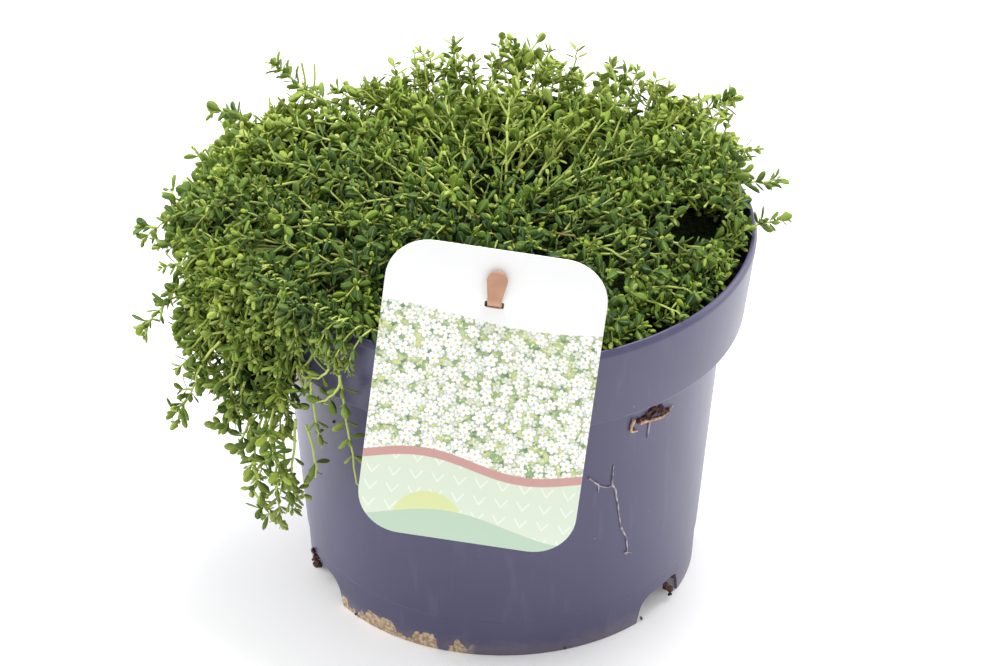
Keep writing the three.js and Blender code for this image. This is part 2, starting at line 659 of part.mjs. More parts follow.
const plant = new THREE.Group();
plant.add(named("nursery_pot", pot, POT_PLASTIC));
plant.add(named("root_ball", soil, PEAT));
plant.add(named("label_card", outerShell(cardSolid(0, true)), CARD_PLASTIC));
plant.add(named("label_stake", stake, STAKE_PLASTIC));
plant.add(named("thyme_mat", mat, LEAF_GREEN));
longStems.forEach((stem, i) => {
  plant.add(named(`trailing_stem_${String(i + 1).padStart(2, "0")}`, stem, STEM_GREEN));
});

const middle = new THREE.Box3().setFromObject(plant).getCenter(new THREE.Vector3());
plant.position.set(-middle.x, -middle.y, 0);
const group = new THREE.Group();
group.add(plant);

export default group;
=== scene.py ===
import math
import random

import bmesh
import bpy
import numpy as np
from mathutils import Matrix, Vector, noise


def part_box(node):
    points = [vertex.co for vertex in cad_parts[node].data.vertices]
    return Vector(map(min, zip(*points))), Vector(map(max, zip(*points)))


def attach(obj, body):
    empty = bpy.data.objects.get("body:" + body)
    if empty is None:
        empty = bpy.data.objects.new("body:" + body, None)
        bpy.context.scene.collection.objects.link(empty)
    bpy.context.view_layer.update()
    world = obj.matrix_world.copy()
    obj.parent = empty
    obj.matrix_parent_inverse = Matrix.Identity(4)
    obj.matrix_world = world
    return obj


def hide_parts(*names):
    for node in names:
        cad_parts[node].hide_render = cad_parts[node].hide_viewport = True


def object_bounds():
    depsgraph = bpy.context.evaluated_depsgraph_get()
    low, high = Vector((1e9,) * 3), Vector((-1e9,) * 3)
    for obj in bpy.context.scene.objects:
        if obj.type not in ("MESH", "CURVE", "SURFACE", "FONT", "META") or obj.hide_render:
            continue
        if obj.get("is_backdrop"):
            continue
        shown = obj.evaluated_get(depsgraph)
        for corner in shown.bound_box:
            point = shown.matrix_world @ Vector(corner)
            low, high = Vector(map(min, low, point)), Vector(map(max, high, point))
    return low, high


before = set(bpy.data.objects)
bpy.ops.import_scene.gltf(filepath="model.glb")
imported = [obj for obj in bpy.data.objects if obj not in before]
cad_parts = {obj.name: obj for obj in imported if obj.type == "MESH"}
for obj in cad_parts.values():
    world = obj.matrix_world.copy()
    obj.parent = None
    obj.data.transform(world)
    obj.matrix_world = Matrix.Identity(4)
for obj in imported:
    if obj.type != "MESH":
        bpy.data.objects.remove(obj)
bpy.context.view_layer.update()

# Nursery pot
# A round pot for growing on, injection moulded in thin blue-grey recycled plastic, satin outside.
# It stands on a skirt with three arches, and a stepped collar with a rolled lip stiffens its mouth.
MM = 0.001
pot_low, pot_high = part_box("nursery_pot")
POT_AXIS = Vector(((pot_low.x + pot_high.x) / 2, (pot_low.y + pot_high.y) / 2, 0))
RIM_RADIUS = (pot_high.x - pot_low.x) / 2 / MM
RIM_HEIGHT = pot_high.z / MM
LIP_ROLL = [(-0.13, -3.4, 0.6), (0, -2.2, 0.8), (-1.1, 0, 1.3), (-2.2, 0, 0.6), (-2.5, -4.4, 1.5)]
POT_WALL = 1.3
POT_SIDES = 240
COLLAR_HEIGHT = 112.6
COLLAR_RADIUS = 91
NECK_RADIUS = 83.4
SKIRT_HEIGHT = 16.3
SKIRT_RADIUS = 75.4
SKIRT_STEP = 0.5
FOOT_RADIUS = 74
FOOT_INSIDE = FOOT_RADIUS - POT_WALL
FLOOR_HEIGHT = 11
FLOOR_THICKNESS = 1.5
FLOOR_FLARE = 0.6
ARCH_AZIMUTHS = (-35.5, -155.5, 84.5)
ARCH_WIDTH = 24
ARCH_TAPER = 0.5
ARCH_FLARE = 2
ARCH_HEIGHT = 10.8
ARCH_CORNER = 6
ARCH_CUT = 14
DRAIN_RADIUS = 4.5
DRAIN_SIDES = 32
DRAIN_FROM_AXIS = 64
DRAIN_CUT = 8
FILM_AZIMUTH = math.radians(-124)
FILM_HEIGHT = 7
FILM_FROM_AXIS = (66, 69)
DUST_HEIGHT = 12
SPECK_GAP = 7


class Value:
    """A socket of a node tree. Sums on values add the Math nodes that work them out."""

    def __init__(self, nodes, socket):
        self.nodes = nodes
        self.socket = socket

    def do(self, operation, *others):
        return self.nodes.sum(operation, self, *others)

    def __add__(self, other):
        return self.do("ADD", other)

    def __sub__(self, other):
        return self.do("SUBTRACT", other)

    def __rsub__(self, other):
        return self.nodes.sum("SUBTRACT", other, self)

    def __mul__(self, other):
        return self.do("MULTIPLY", other)

    def __pow__(self, other):
        return self.do("POWER", other)

    __radd__ = __add__
    __rmul__ = __mul__

    def rise(self, low, high):
        """0 below low, 1 above high, and smooth between. It falls where low is above high."""
        limits = {"Value": self, "From Min": low, "From Max": high}
        if low > high:
            limits |= {"From Min": high, "From Max": low, "To Min": 1.0, "To Max": 0.0}
        return self.nodes.add("ShaderNodeMapRange", {"interpolation_type": "SMOOTHSTEP"}, limits)

    def also(self, name):
        """Another output of the same node."""
        return Value(self.nodes, self.socket.node.outputs[name])


class Nodes:
    """A node tree that is filled from here. add() makes any node."""

    def __init__(self, tree):
        self.tree = tree

    def add(self, kind, settings=None, sockets=None):
        node = self.tree.nodes.new(kind)
        for name, setting in (settings or {}).items():
            setattr(node, name, setting)
        for name, given in (sockets or {}).items():
            self.feed(node, name, given)
        shown = [socket for socket in node.outputs if socket.enabled]
        return Value(self, shown[0]) if shown else node

    def feed(self, node, name, given):
        shown = [socket for socket in node.inputs if socket.enabled]
        socket = shown[name] if isinstance(name, int) else next(s for s in shown if s.name == name)
        for one in given if isinstance(given, list) else [given]:
            if isinstance(one, Value):
                self.tree.links.new(one.socket, socket)
            elif socket.type == "RGBA":
                socket.default_value = (*one, 1)
            else:
                socket.default_value = one

    def sum(self, operation, *values):
        return self.add("ShaderNodeMath", {"operation": operation}, dict(enumerate(values)))


class Paint(Nodes):
    """A material. Its patterns are laid out in millimetres about the pot's axis."""

    def __init__(self, name):
        self.material = bpy.data.materials.new(name)
        self.material.use_nodes = True
        super().__init__(self.material.node_tree)
        self.shader = self.tree.nodes["Principled BSDF"]

    def place(self):
        here = self.add("ShaderNodeTexCoord").also("Object")
        shift = {"Location": -POT_AXIS / MM, "Scale": (1 / MM,) * 3}
        return self.add("ShaderNodeMapping", {}, {"Vector": here, **shift})

    def stretch(self, vector, *scale):
        return self.add("ShaderNodeMapping", {}, {"Vector": vector, "Scale": scale})

    def split(self, vector):
        x = self.add("ShaderNodeSeparateXYZ", {}, {0: vector})
        return x, x.also("Y"), x.also("Z")

    def speckle(self, vector, size, detail=2.0, roughness=0.5, distortion=0.0):
        """Noise from 0 to 1 whose blotches are about size millimetres."""
        sockets = {"Vector": vector, "Scale": 1 / size, "Detail": detail}
        sockets |= {"Roughness": roughness, "Distortion": distortion}
        return self.add("ShaderNodeTexNoise", {}, sockets)

    def coats(self, colour, *coats):
        """A colour with others laid over it in turn, each given by its share and its colour."""
        for share, coat in coats:
            sockets = {"Factor": share, "A": colour, "B": coat}
            colour = self.add("ShaderNodeMix", {"data_type": "RGBA"}, sockets)
        return colour

    def attribute(self, name, output="Fac"):
        return self.add("ShaderNodeAttribute", {"attribute_name": name}).also(output)

    def relief(self, height, depth):
        """A bump of the given depth in millimetres where height is 1."""
        sockets = {"Height": height, "Strength": 1.0, "Distance": depth * MM}
        return self.add("ShaderNodeBump", {}, sockets)

    def wear(self, **finish):
        """Sets the shader's sockets: a number stands on the socket, and a value is linked to it."""
        for name, given in finish.items():
            self.feed(self.shader, name.replace("_", " ").title().replace("Ior", "IOR"), given)
        return self.material


def at(azimuth, out, height=0):
    """A point by its azimuth in degrees, its distance from the pot's axis, and its height."""
    turn = math.radians(azimuth)
    return Vector((out * math.cos(turn), out * math.sin(turn), height))


def stand(name, data):
    """A new object in the scene."""
    thing = bpy.data.objects.new(name, data)
    bpy.context.scene.collection.objects.link(thing)
    return thing


def outwards(mesh, weld=None):
    """Turns a mesh's faces outwards, after joining points that lie within weld of each other."""
    build = bmesh.new()
    build.from_mesh(mesh)
    if weld:
        bmesh.ops.remove_doubles(build, verts=build.verts, dist=weld)
    bmesh.ops.recalc_face_normals(build, faces=build.faces)
    build.to_mesh(mesh)
    build.free()
    return mesh


def shape(name, points, faces):
    """A mesh of points in millimetres, its faces turned outwards."""
    mesh = bpy.data.meshes.new(name)
    mesh.from_pydata([tuple(p) for p in points], [], faces)
    return outwards(mesh)


def solid(name, thing, sharp=35):
    """The finished shape of an object, mesh or curve, with its modifiers, as a smooth mesh."""
    if isinstance(thing, bpy.types.Object):
        bpy.context.scene.collection.objects.link(thing)
    else:
        thing = stand(name, thing)
    graph = bpy.context.evaluated_depsgraph_get()
    made = bpy.data.meshes.new_from_object(
        thing.evaluated_get(graph), preserve_all_data_layers=True, depsgraph=graph
    )
    bpy.data.objects.remove(thing)
    made.shade_smooth()
    if sharp:
        made.set_sharp_from_angle(angle=math.radians(sharp))
    return made


def put(name, mesh, material, slot, *nodes):
    """Moves a mesh from millimetres about the pot's axis to its place, as a piece of the part."""
    mesh.transform(Matrix.Translation(POT_AXIS) @ Matrix.Scale(MM, 4))
    mesh.name = name
    if material:
        mesh.materials.clear()
        mesh.materials.append(material)
    piece = stand(name, mesh)
    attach(piece, "root")
    if nodes:
        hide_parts(*nodes)


def bent(start, bend, end, t):
    """The point at t, from 0 to 1, on a curve that leaves start towards bend and comes to end."""
    return start * (1 - t) ** 2 + bend * 2 * t * (1 - t) + end * t * t


def rounded(corners, steps=5):
    """A closed outline through corners (across, up, radius), each corner eased over its radius."""
    outline = []
    for i, (across, up, radius) in enumerate(corners):
        corner = Vector((across, up))
        if not radius:
            outline.append(corner)
            continue
        before = Vector(corners[i - 1][:2]) - corner
        after = Vector(corners[(i + 1) % len(corners)][:2]) - corner
        start = corner + before.normalized() * min(radius, before.length / 2)
        end = corner + after.normalized() * min(radius, after.length / 2)
        outline += [bent(start, corner, end, k / steps) for k in range(steps + 1)]
    return outline


def spun(name, ends, ring, sides):
    """A skin about the pot's axis between two end heights. ring(azimuth) gives (out, height)s."""
    points = [(0, 0, height) for height in ends]
    for k in range(sides):
        azimuth = 360 * k / sides
        points += [at(azimuth, *corner) for corner in ring(azimuth)]
    count = (len(points) - 2) // sides
    faces = []
    for k in range(sides):
        here = 2 + k * count
        there = 2 + (k + 1) % sides * count
        faces.append((0, here, there))
        faces += [(here + i, here + i + 1, there + i + 1, there + i) for i in range(count - 1)]
        faces.append((1, there + count - 1, here + count - 1))
    return shape(name, points, faces)


def prism(outline, depth, place):
    """Points and faces of an outline across and up, drawn out along its third axis."""
    count = len(outline)
    points = [place @ Vector((*p, side * depth / 2)) for side in (-1, 1) for p in outline]
    faces = [tuple(range(count)), tuple(range(2 * count - 1, count - 1, -1))]
    faces += [(i, (i + 1) % count, count + (i + 1) % count, count + i) for i in range(count)]
    return points, faces


def joined(parts):
    """Several (points, faces) as one."""
    points, faces = [], []
    for part_points, part_faces in parts:
        start = len(points)
        points += list(part_points)
        faces += [tuple(start + i for i in face) for face in part_faces]
    return points, faces


floor_below, *pot_skin, floor_above = rounded(
    [
        (0, FLOOR_HEIGHT, 0),
        (FOOT_INSIDE + FLOOR_FLARE, FLOOR_HEIGHT, 0.5),
        (FOOT_INSIDE, 0, 0.4),
        (FOOT_RADIUS, 0, 0.5),
        (SKIRT_RADIUS - SKIRT_STEP, SKIRT_HEIGHT, 0.3),
        (SKIRT_RADIUS, SKIRT_HEIGHT + SKIRT_STEP, 0.4),
        (NECK_RADIUS, COLLAR_HEIGHT, 1.0),
        (COLLAR_RADIUS, COLLAR_HEIGHT, 1.4),
        *((RIM_RADIUS + out, RIM_HEIGHT + up, radius) for out, up, radius in LIP_ROLL),
        (COLLAR_RADIUS - POT_WALL, COLLAR_HEIGHT + POT_WALL, 1.0),
        (NECK_RADIUS - POT_WALL, COLLAR_HEIGHT + POT_WALL, 1.4),
        (SKIRT_RADIUS - POT_WALL, SKIRT_HEIGHT + SKIRT_STEP, 0.6),
        (FOOT_INSIDE + FLOOR_FLARE, FLOOR_HEIGHT + FLOOR_THICKNESS, 1.5),
        (0, FLOOR_HEIGHT + FLOOR_THICKNESS, 0),
    ]
)
moulded = spun("pot", (floor_below.y, floor_above.y), lambda azimuth: pot_skin, POT_SIDES)
half = ARCH_WIDTH / 2
arch_outline = rounded(
    [
        (-half - ARCH_FLARE, -1, 0),
        (half + ARCH_FLARE, -1, 0),
        (half - ARCH_TAPER, ARCH_HEIGHT, ARCH_CORNER),
        (ARCH_TAPER - half, ARCH_HEIGHT, ARCH_CORNER),
    ],
    steps=10,
)
drain_outline = [at(360 * k / DRAIN_SIDES, DRAIN_RADIUS).xy for k in range(DRAIN_SIDES)]
cutters = []
for azimuth in ARCH_AZIMUTHS:
    around = Matrix.Rotation(math.radians(azimuth + 90), 4, "Z")
    on_skirt = Matrix.Translation((0, -FOOT_RADIUS, 0)) @ Matrix.Rotation(math.pi / 2, 4, "X")
    on_floor = Matrix.Translation((0, -DRAIN_FROM_AXIS, FLOOR_HEIGHT))
    cutters.append(prism(arch_outline, ARCH_CUT, around @ on_skirt))
    cutters.append(prism(drain_outline, DRAIN_CUT, around @ on_floor))
openings = bpy.data.objects.new("pot_openings", shape("pot_openings", *joined(cutters)))
pot = bpy.data.objects.new("pot", moulded)
cut = pot.modifiers.new("openings", "BOOLEAN")
cut.object = openings
cut.solver = "EXACT"

paint = Paint("scuffed blue-grey plastic")
place = paint.place()
across, depth, height = paint.split(place)
cloud = paint.speckle(place, 45, 3)
streak = paint.speckle(paint.stretch(place, 1, 1, 0.12), 5, 3, 0.6)
grain = paint.speckle(place, 0.55)
patch = paint.speckle(place, 7, 4, 0.65, 0.6)
crumb = paint.speckle(place, 1.3)
ragged = paint.speckle(paint.stretch(place, 1, 1, 0.4), 9, 3, 0.6)
towards_film = across * math.cos(FILM_AZIMUTH) + depth * math.sin(FILM_AZIMUTH)
film = (height - ragged.rise(0.38, 0.6) * FILM_HEIGHT).rise(0.3, -0.5)
film = film * towards_film.rise(*FILM_FROM_AXIS) * ragged.rise(0.4, 0.43)
foot_dust = (height - patch * DUST_HEIGHT).rise(2.0, -4.0) * 0.35
specks = paint.add("ShaderNodeTexVoronoi", {}, {"Vector": place, "Scale": 1 / SPECK_GAP})
speck = specks.rise(0.055, 0.02) * paint.split(specks.also("Color"))[0].rise(0.55, 0.6)
dirt = paint.coats((0.3, 0.2, 0.11), (crumb.rise(0.35, 0.65), (0.56, 0.43, 0.3)))
plastic = paint.coats(
    (0.052, 0.048, 0.11),
    (cloud.rise(0.3, 0.7), (0.06, 0.055, 0.122)),
    (streak.rise(0.55, 0.8) * 0.35, (0.12, 0.115, 0.17)),
    (foot_dust, (0.2, 0.16, 0.17)),
    (speck * 0.8, (0.33, 0.28, 0.27)),
    (film, dirt),
)
pot_finish = paint.wear(
    base_color=plastic,
    roughness=(0.3 + streak * 0.1) + film * 0.4 + speck * 0.3,
    specular_ior_level=0.6,
    normal=paint.relief(grain * 0.35 + film * crumb * 4 + speck, 0.06),
)
put("nursery_pot_fine", solid("pot", pot), pot_finish, "pot_plastic", "nursery_pot")
bpy.data.objects.remove(openings)

# Root ball
# Peat that fills the pot to just under its lip, bound by roots and topped with loose crumbs.
# It takes the pot's inside shape, and a plug of roots shows in each drain hole.
PEAT_TOP = 131
PEAT_RADIUS = 89.5
PEAT_CRUMBS = 260
CRUMBS_SUNK = 2.5
paint = Paint("moist peat")
place = paint.place()
lump = paint.speckle(place, 3.5, 4, 0.65)
fibre = paint.speckle(paint.stretch(place, 1, 0.2, 1), 0.8)
peat = paint.coats(
    (0.012, 0.008, 0.005),
    (lump.rise(0.3, 0.7), (0.05, 0.033, 0.02)),
    (fibre.rise(0.68, 0.78) * 0.6, (0.24, 0.17, 0.1)),
)
peat_finish = paint.wear(
    base_color=peat,
    roughness=0.95,
    specular_ior_level=0.2,
    normal=paint.relief(lump + fibre * 0.3, 1.2),
)
root_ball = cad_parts["root_ball"]
root_ball.data.materials.clear()
root_ball.data.materials.append(peat_finish)


def lumps(places, seed):
    """Small uneven crumbs, as one mesh: each place is (x, y, z, radius)."""
    ball = bmesh.new()
    bmesh.ops.create_icosphere(ball, subdivisions=1, radius=1)
    corners = [v.co.copy() for v in ball.verts]
    sides = [tuple(v.index for v in face.verts) for face in ball.faces]
    ball.free()
    chance = random.Random(seed)
    parts = []
    for x, y, z, radius in places:
        turn = Matrix.Rotation(chance.uniform(0, 6), 3, (chance.random(), chance.random(), 1))
        stretch = Vector((1, chance.uniform(0.6, 1), chance.uniform(0.5, 0.9)))
        uneven = [corner * chance.uniform(0.75, 1.2) for corner in corners]
        crumb = [Vector((x, y, z)) + radius * (turn @ (corner * stretch)) for corner in uneven]
        parts.append((crumb, sides))
    return solid("crumbs", shape("crumbs", *joined(parts)))


chance = random.Random(11)
crumbs = []
for _ in range(PEAT_CRUMBS):
    azimuth = chance.uniform(0, 360)
    out = PEAT_RADIUS * math.sqrt(chance.uniform(0.55, 1))
    crumbs.append((*at(azimuth, out, PEAT_TOP - CRUMBS_SUNK), chance.uniform(0.8, 2.2)))
put("peat_crumbs", lumps(crumbs, seed=12), peat_finish, "peat")

# Clinging roots and dirt
# A dry root is stuck to the pot's wall, a shred of bark is caught under the collar, and crumbs of
# peat hang in the side arches and at the foot, as on a pot lifted from its nursery bed. All are
# given by azimuth and height on the wall, and the fallen crumbs by their radius too.
DRY_ROOTS = [
    [(-66.8, 82.6), (-66.1, 81.2), (-64.6, 79.2), (-63.2, 76.8), (-62, 76.3),
     (-60.8, 75.1), (-59.6, 75.7)],
    [(-64.2, 78.9), (-63.5, 76.5), (-63.9, 74.6)],
    [(-59.6, 75.7), (-59.9, 78), (-59.4, 80.8), (-59.8, 82.6), (-59.6, 85)],
    [(-59.6, 75.7), (-58.2, 73), (-58.3, 69.5), (-57.2, 66), (-57.1, 62),
     (-56.2, 57), (-55.7, 53.5)],
    [(-55.7, 53.5), (-54.4, 49.5), (-53.3, 47.5), (-53.2, 43.5), (-52.6, 41), (-52.9, 38.4)],
    [(-53.8, 39.6), (-52.9, 40.2), (-51.4, 38.4)],
    [(-48.9, 99.5), (-48.8, 97), (-49.2, 94.6), (-49.1, 91.8)],
]
BARK_EDGES = [
    [(-52.4, 101), (-50.2, 100.9), (-48.3, 99.8), (-46, 99.2), (-44, 98.2),
     (-42.4, 99.4), (-40.6, 100.9)],
    [(-54.4, 104), (-55.2, 101), (-55.4, 98.6), (-54.3, 98.1), (-53, 97.9)],
]
SHRED_AZIMUTH = -53
SHRED_ARC = 10.5
SHRED_HEIGHT = 101.5
SHRED_SLOPE = 0.28
SHRED_THICK = 6.5
SHRED_THICKEST = 6
SHRED_CRUMBS = 26
STRAY_CRUMBS = [(-139.6, 100.7), (-140, 92), (-141, 96), (-54.8, 102.5), (-54.2, 100)]
FALLEN_CRUMBS = [
    (-163, 5, 2.6), (-165, 8, 1.8), (-167, 3, 1.2),
    (-29, 5, 2.6), (-27, 8, 1.9), (-30.5, 2.5, 1.3),
    (-138.7, 0.9, 0.9), (-137.5, 0.7, 0.6), (-71, 0.9, 0.8), (-69.5, 0.7, 0.6), (-44.5, 1.0, 0.9),
]
FOOT_TUCK = 1.6


def on_wall(azimuth, height, lift):
    """A point on the outside of the pot's wall, or lifted off it."""
    share = max(0, height - SKIRT_HEIGHT) / (COLLAR_HEIGHT - SKIRT_HEIGHT)
    return at(azimuth, SKIRT_RADIUS + (NECK_RADIUS - SKIRT_RADIUS) * share + lift, height)


def strands(name, lines, radius):
    """Thin round strands that follow lines on the wall, tapered to their ends, as one mesh."""
    curve = bpy.data.curves.new(name, "CURVE")
    curve.dimensions = "3D"
    curve.bevel_depth = radius
    curve.bevel_resolution = 1
    curve.use_fill_caps = True
    for line in lines:
        spline = curve.splines.new("NURBS")
        spline.points.add(len(line) - 1)
        spline.use_endpoint_u = True
        for k, (azimuth, height) in enumerate(line):
            spline.points[k].co = (*on_wall(azimuth, height, radius * 0.8), 1)
            spline.points[k].radius = 1.3 - 0.8 * k / (len(line) - 1)
    return solid(name, curve, sharp=0)


def veined(name, vein, dark, light, roughness):
    """A dry matt finish whose veins, in millimetres, run between two colours."""
    paint = Paint(name)
    veins = paint.speckle(paint.place(), vein, 3).rise(0.35, 0.65)
    return paint.wear(base_color=paint.coats(dark, (veins, light)), roughness=roughness)


dry_root = veined("dry root", 2.5, (0.2, 0.16, 0.18), (0.48, 0.44, 0.5), 0.9)
tan_bark = veined("tan bark", 1.5, (0.34, 0.17, 0.09), (0.62, 0.43, 0.27), 0.85)
red_bark = veined("red-brown bark", 1.2, (0.022, 0.01, 0.01), (0.13, 0.05, 0.035), 0.9)
put("dry_roots", strands("roots", DRY_ROOTS, radius=0.34), dry_root, "peat")
put("bark_edge", strands("edge", BARK_EDGES, radius=0.6), tan_bark, "peat")
chance = random.Random(13)
caught = []
for k in range(SHRED_CRUMBS):
    aside = SHRED_ARC * k / (SHRED_CRUMBS - 1)
    up = chance.uniform(1.0, SHRED_THICK - abs(aside - SHRED_THICKEST))
    place = on_wall(SHRED_AZIMUTH + aside, SHRED_HEIGHT - SHRED_SLOPE * aside + up, 0.2)
    caught.append((*place, chance.uniform(0.9, 1.6)))
for azimuth, height in STRAY_CRUMBS:
    caught.append((*on_wall(azimuth, height, 0.1), chance.uniform(0.5, 0.9)))
put("bark_shred", lumps(caught, seed=14), red_bark, "peat")
fallen = []
for azimuth, height, radius in FALLEN_CRUMBS:
    lift = -radius * 0.8 if radius > 1 else -FOOT_TUCK
    for _ in range(3):
        nudge = Vector([chance.uniform(-radius, radius) * 0.8 for _ in range(3)])
        place = on_wall(azimuth, height, lift) + nudge
        size = radius * chance.uniform(0.5, 0.9)
        fallen.append((place.x, place.y, max(place.z, radius), size))
put("clinging_peat", lumps(fallen, seed=15), red_bark, "peat")

# Thatch
# The heart of the bush: old stems and shed leaves tangled into a springy cushion on the peat.
# Its near-black colour is painted shade, the shadow that the eye meets between the shoots.
# Over the left of the rim it hangs as a lobe.
MAT_RADIUS = 91
MAT_CROWN = 8
EDGE_MEAN = 8
EDGE_SWING = 13
EDGE_HIGH_AZIMUTH = 100
SPILL = {"centre": 177, "half": 54}
SPILL_REACH = 32
SPILL_DROP = 30
SPILL_TURN = 0.76 * math.pi
SPILL_ENDS = (214, 226)
CURTAIN = {"centre": 213, "half": 31}
CURTAIN_DROP = 62
HOLLOW_FROM = 0.5
HOLLOW_AZIMUTHS = (15, 30, 40, 50, 56, 63, 68, 74, 80, 90, 97, 105, 111, 119, 125, 132, 145, 160)
HOLLOW_DEPTHS = (0, 6, 9, 0, 1, 10, 20, 15, 3, 2, 19, 19, 5, 14, 14, 4, 4, 0)
WALL_GAP = (Vector((72, 0, 143)), Vector((73, -28, 164)))
GAP_RADIUS = 9
GAP_DEPTH = 9
THATCH_ACROSS = (0.12, 0.25, 0.38, 0.5, 0.62, 0.74, 0.86, 0.96)
THATCH_SIDES = 120
THATCH_DEPTH = 12
THATCH_SWING = 4
THATCH_SPREAD = 0.965
THATCH_LUMPS = ((3.2, 9), (1.6, 4))
THATCH_FOOT = [(84, PEAT_TOP + 1), (70, PEAT_TOP)]
LIP_COVER = 4
LOBE_OVER = (0.12, 0.25, 0.4, 0.55, 0.7, 0.82)
LOBE_LUMPS = ((2.5, 8),)
LOBE_THICKNESS = 10
LOBE_CLEAR = 3
LOBE_BACK_CLEAR = 1.2


def bump(azimuth, centre, half):
    """1 at the centre azimuth, easing to 0 at half the width on each side."""
    away = abs((azimuth - centre + 180) % 360 - 180)
    return math.cos(away / half * math.pi / 2) if away < half else 0.0


def dense(azimuth):
    """1 where the bush spills thickly over the rim, easing to 0 where single sprigs cross it."""
    thick_to, sparse_from = SPILL_ENDS
    return min(1.0, max(0.0, (sparse_from - azimuth % 360) / (sparse_from - thick_to)))


def envelope(azimuth, across):
    """Where tips reach: across runs 0 to 1 from the axis to the rim, and to 2 over the rim."""
    inside = min(across, 1)
    over = max(across - 1, 0)
    swing = EDGE_SWING * math.cos(math.radians(azimuth - EDGE_HIGH_AZIMUTH))
    hollow = float(np.interp(azimuth % 360, HOLLOW_AZIMUTHS, HOLLOW_DEPTHS))
    spill = bump(azimuth, **SPILL)
    out = MAT_RADIUS * inside + SPILL_REACH * spill * math.sin(SPILL_TURN * over)
    up = RIM_HEIGHT + EDGE_MEAN + swing * inside**1.5 + MAT_CROWN * (1 - inside**2)
    up -= hollow * max(0, inside - HOLLOW_FROM) / (1 - HOLLOW_FROM)
    up -= (SPILL_DROP * spill + CURTAIN_DROP * bump(azimuth, **CURTAIN)) * over**1.5
    return at(azimuth, out, up)


def envelope_frame(azimuth, across):
    """The outward normal, the way that stems run, and the way round the pot."""
    straight = at(azimuth, 1)
    around = Vector((-straight.y, straight.x, 0))
    run = envelope(azimuth, across + 0.02) - envelope(azimuth, max(across - 0.02, 0))
    run = run.normalized() if run.length > 0.05 else straight
    return run.cross(around).normalized(), run, around


def gap_distance(point):
    """How far a point lies from the axis of the dark gap by the wall, which leans to the front."""
    low, high = WALL_GAP
    axis = high - low
    along = min(1.0, max(0.0, (point - low).dot(axis) / axis.length_squared))
    return (point - low - axis * along).length


def lumpy(point, lumps):
    """How far a surface stands out at a point, from lumps given by their height and size."""
    return sum(height * noise.noise(point / size) for height, size in lumps)


def thatch_ring(azimuth):
    """Distance and height from the crown over the top, down the lobe, and back to the peat."""
    spilt = min(1.0, max(0.0, bump(azimuth, **SPILL) * 2.8 - 0.7)) * dense(azimuth)
    swing = THATCH_SWING * math.cos(math.radians(azimuth - EDGE_HIGH_AZIMUTH))
    top, face, back = [], [], []
    for across in THATCH_ACROSS:
        point = envelope(azimuth, across)
        deep = THATCH_DEPTH + swing * across - LIP_COVER * spilt * across
        deep += GAP_DEPTH * max(0.0, 1.5 - gap_distance(point) / GAP_RADIUS)
        up = point.z - deep + lumpy(point, THATCH_LUMPS)
        top.append(Vector((point.xy.length * THATCH_SPREAD, up)))
    shoulder = top[-1]
    for over in LOBE_OVER:
        normal, _, _ = envelope_frame(azimuth, 1 + over)
        point = envelope(azimuth, 1 + over) - normal * (THATCH_DEPTH - LIP_COVER)
        out = point.dot(at(azimuth, 1)) + lumpy(point, LOBE_LUMPS)
        out = max(out, RIM_RADIUS + LOBE_CLEAR)
        inner = max(out - LOBE_THICKNESS, RIM_RADIUS + LOBE_BACK_CLEAR)
        tucked = Vector((shoulder.x + over, max(shoulder.y - 6 * over, RIM_HEIGHT + 2.2 - over)))
        behind = tucked - Vector((1.5, 0.8))
        face.append(tucked.lerp(Vector((out, point.z)), spilt))
        back.append(behind.lerp(Vector((inner, point.z - 1.5)), spilt))
    over_lip = (RIM_RADIUS * spilt + (shoulder.x - 3) * (1 - spilt), RIM_HEIGHT + 1.0)
    return [*top, *face, *back[::-1], over_lip, *THATCH_FOOT]


paint = Paint("thatch in painted shade")
place = paint.place()
tangle = paint.speckle(place, 2.2, 4, 0.7, 1.2)
litter = paint.speckle(place, 6)
# A near-black base, which is painted shade deep in the bush, mottled with a little brown-green.
dark = paint.coats(
    (0.004, 0.006, 0.002),
    (tangle.rise(0.35, 0.65), (0.022, 0.034, 0.009)),
    (litter.rise(0.6, 0.75) * 0.5, (0.045, 0.03, 0.016)),
)
thatch_shade_finish = paint.wear(
    base_color=dark,
    roughness=0.95,
    specular_ior_level=0.1,
    normal=paint.relief(tangle, 2.0),
)
ends = (envelope(0, 0).z - THATCH_DEPTH, PEAT_TOP)
thatch = solid("thatch", spun("thatch", ends, thatch_ring, THATCH_SIDES), sharp=0)
put("thatch", thatch, thatch_shade_finish, "leaf", "thyme_mat")

# Leaves and stems
# Thyme carries its leaves in opposite pairs, each pair a quarter turn from the last and closer to
# it towards the tip, with a tuft of smaller leaves in their angles. A leaf is spoon shaped and
# waxy, with one pale midrib.
BROAD_ROWS = [(0.16, 0.24), (0.4, 0.8), (0.66, 1.0), (0.89, 0.68)]
SMALL_ROWS = [(0.2, 0.4), (0.6, 1.0), (0.88, 0.68)]
TUFT_SIZE = 0.58
TUFT_LIFT = 0.45
LEAF_SIZES = (0.8, 1.15)
LEAF_SWING = 0.3
RISE_SWING = 0.22
PAIR_SWING = 0.25
TIP_CROWDING = 1.55
STEM_SIDES = 5
STEM_TAPER = (1.15, 0.55)
LABEL_CLEAR = {"left": -54, "right": 38, "y": -83}
LIP_FROM = 86
LIP_TO = 97
LIP_BARE_FROM = 84
LIP_BARE_UNDER = RIM_HEIGHT - 3


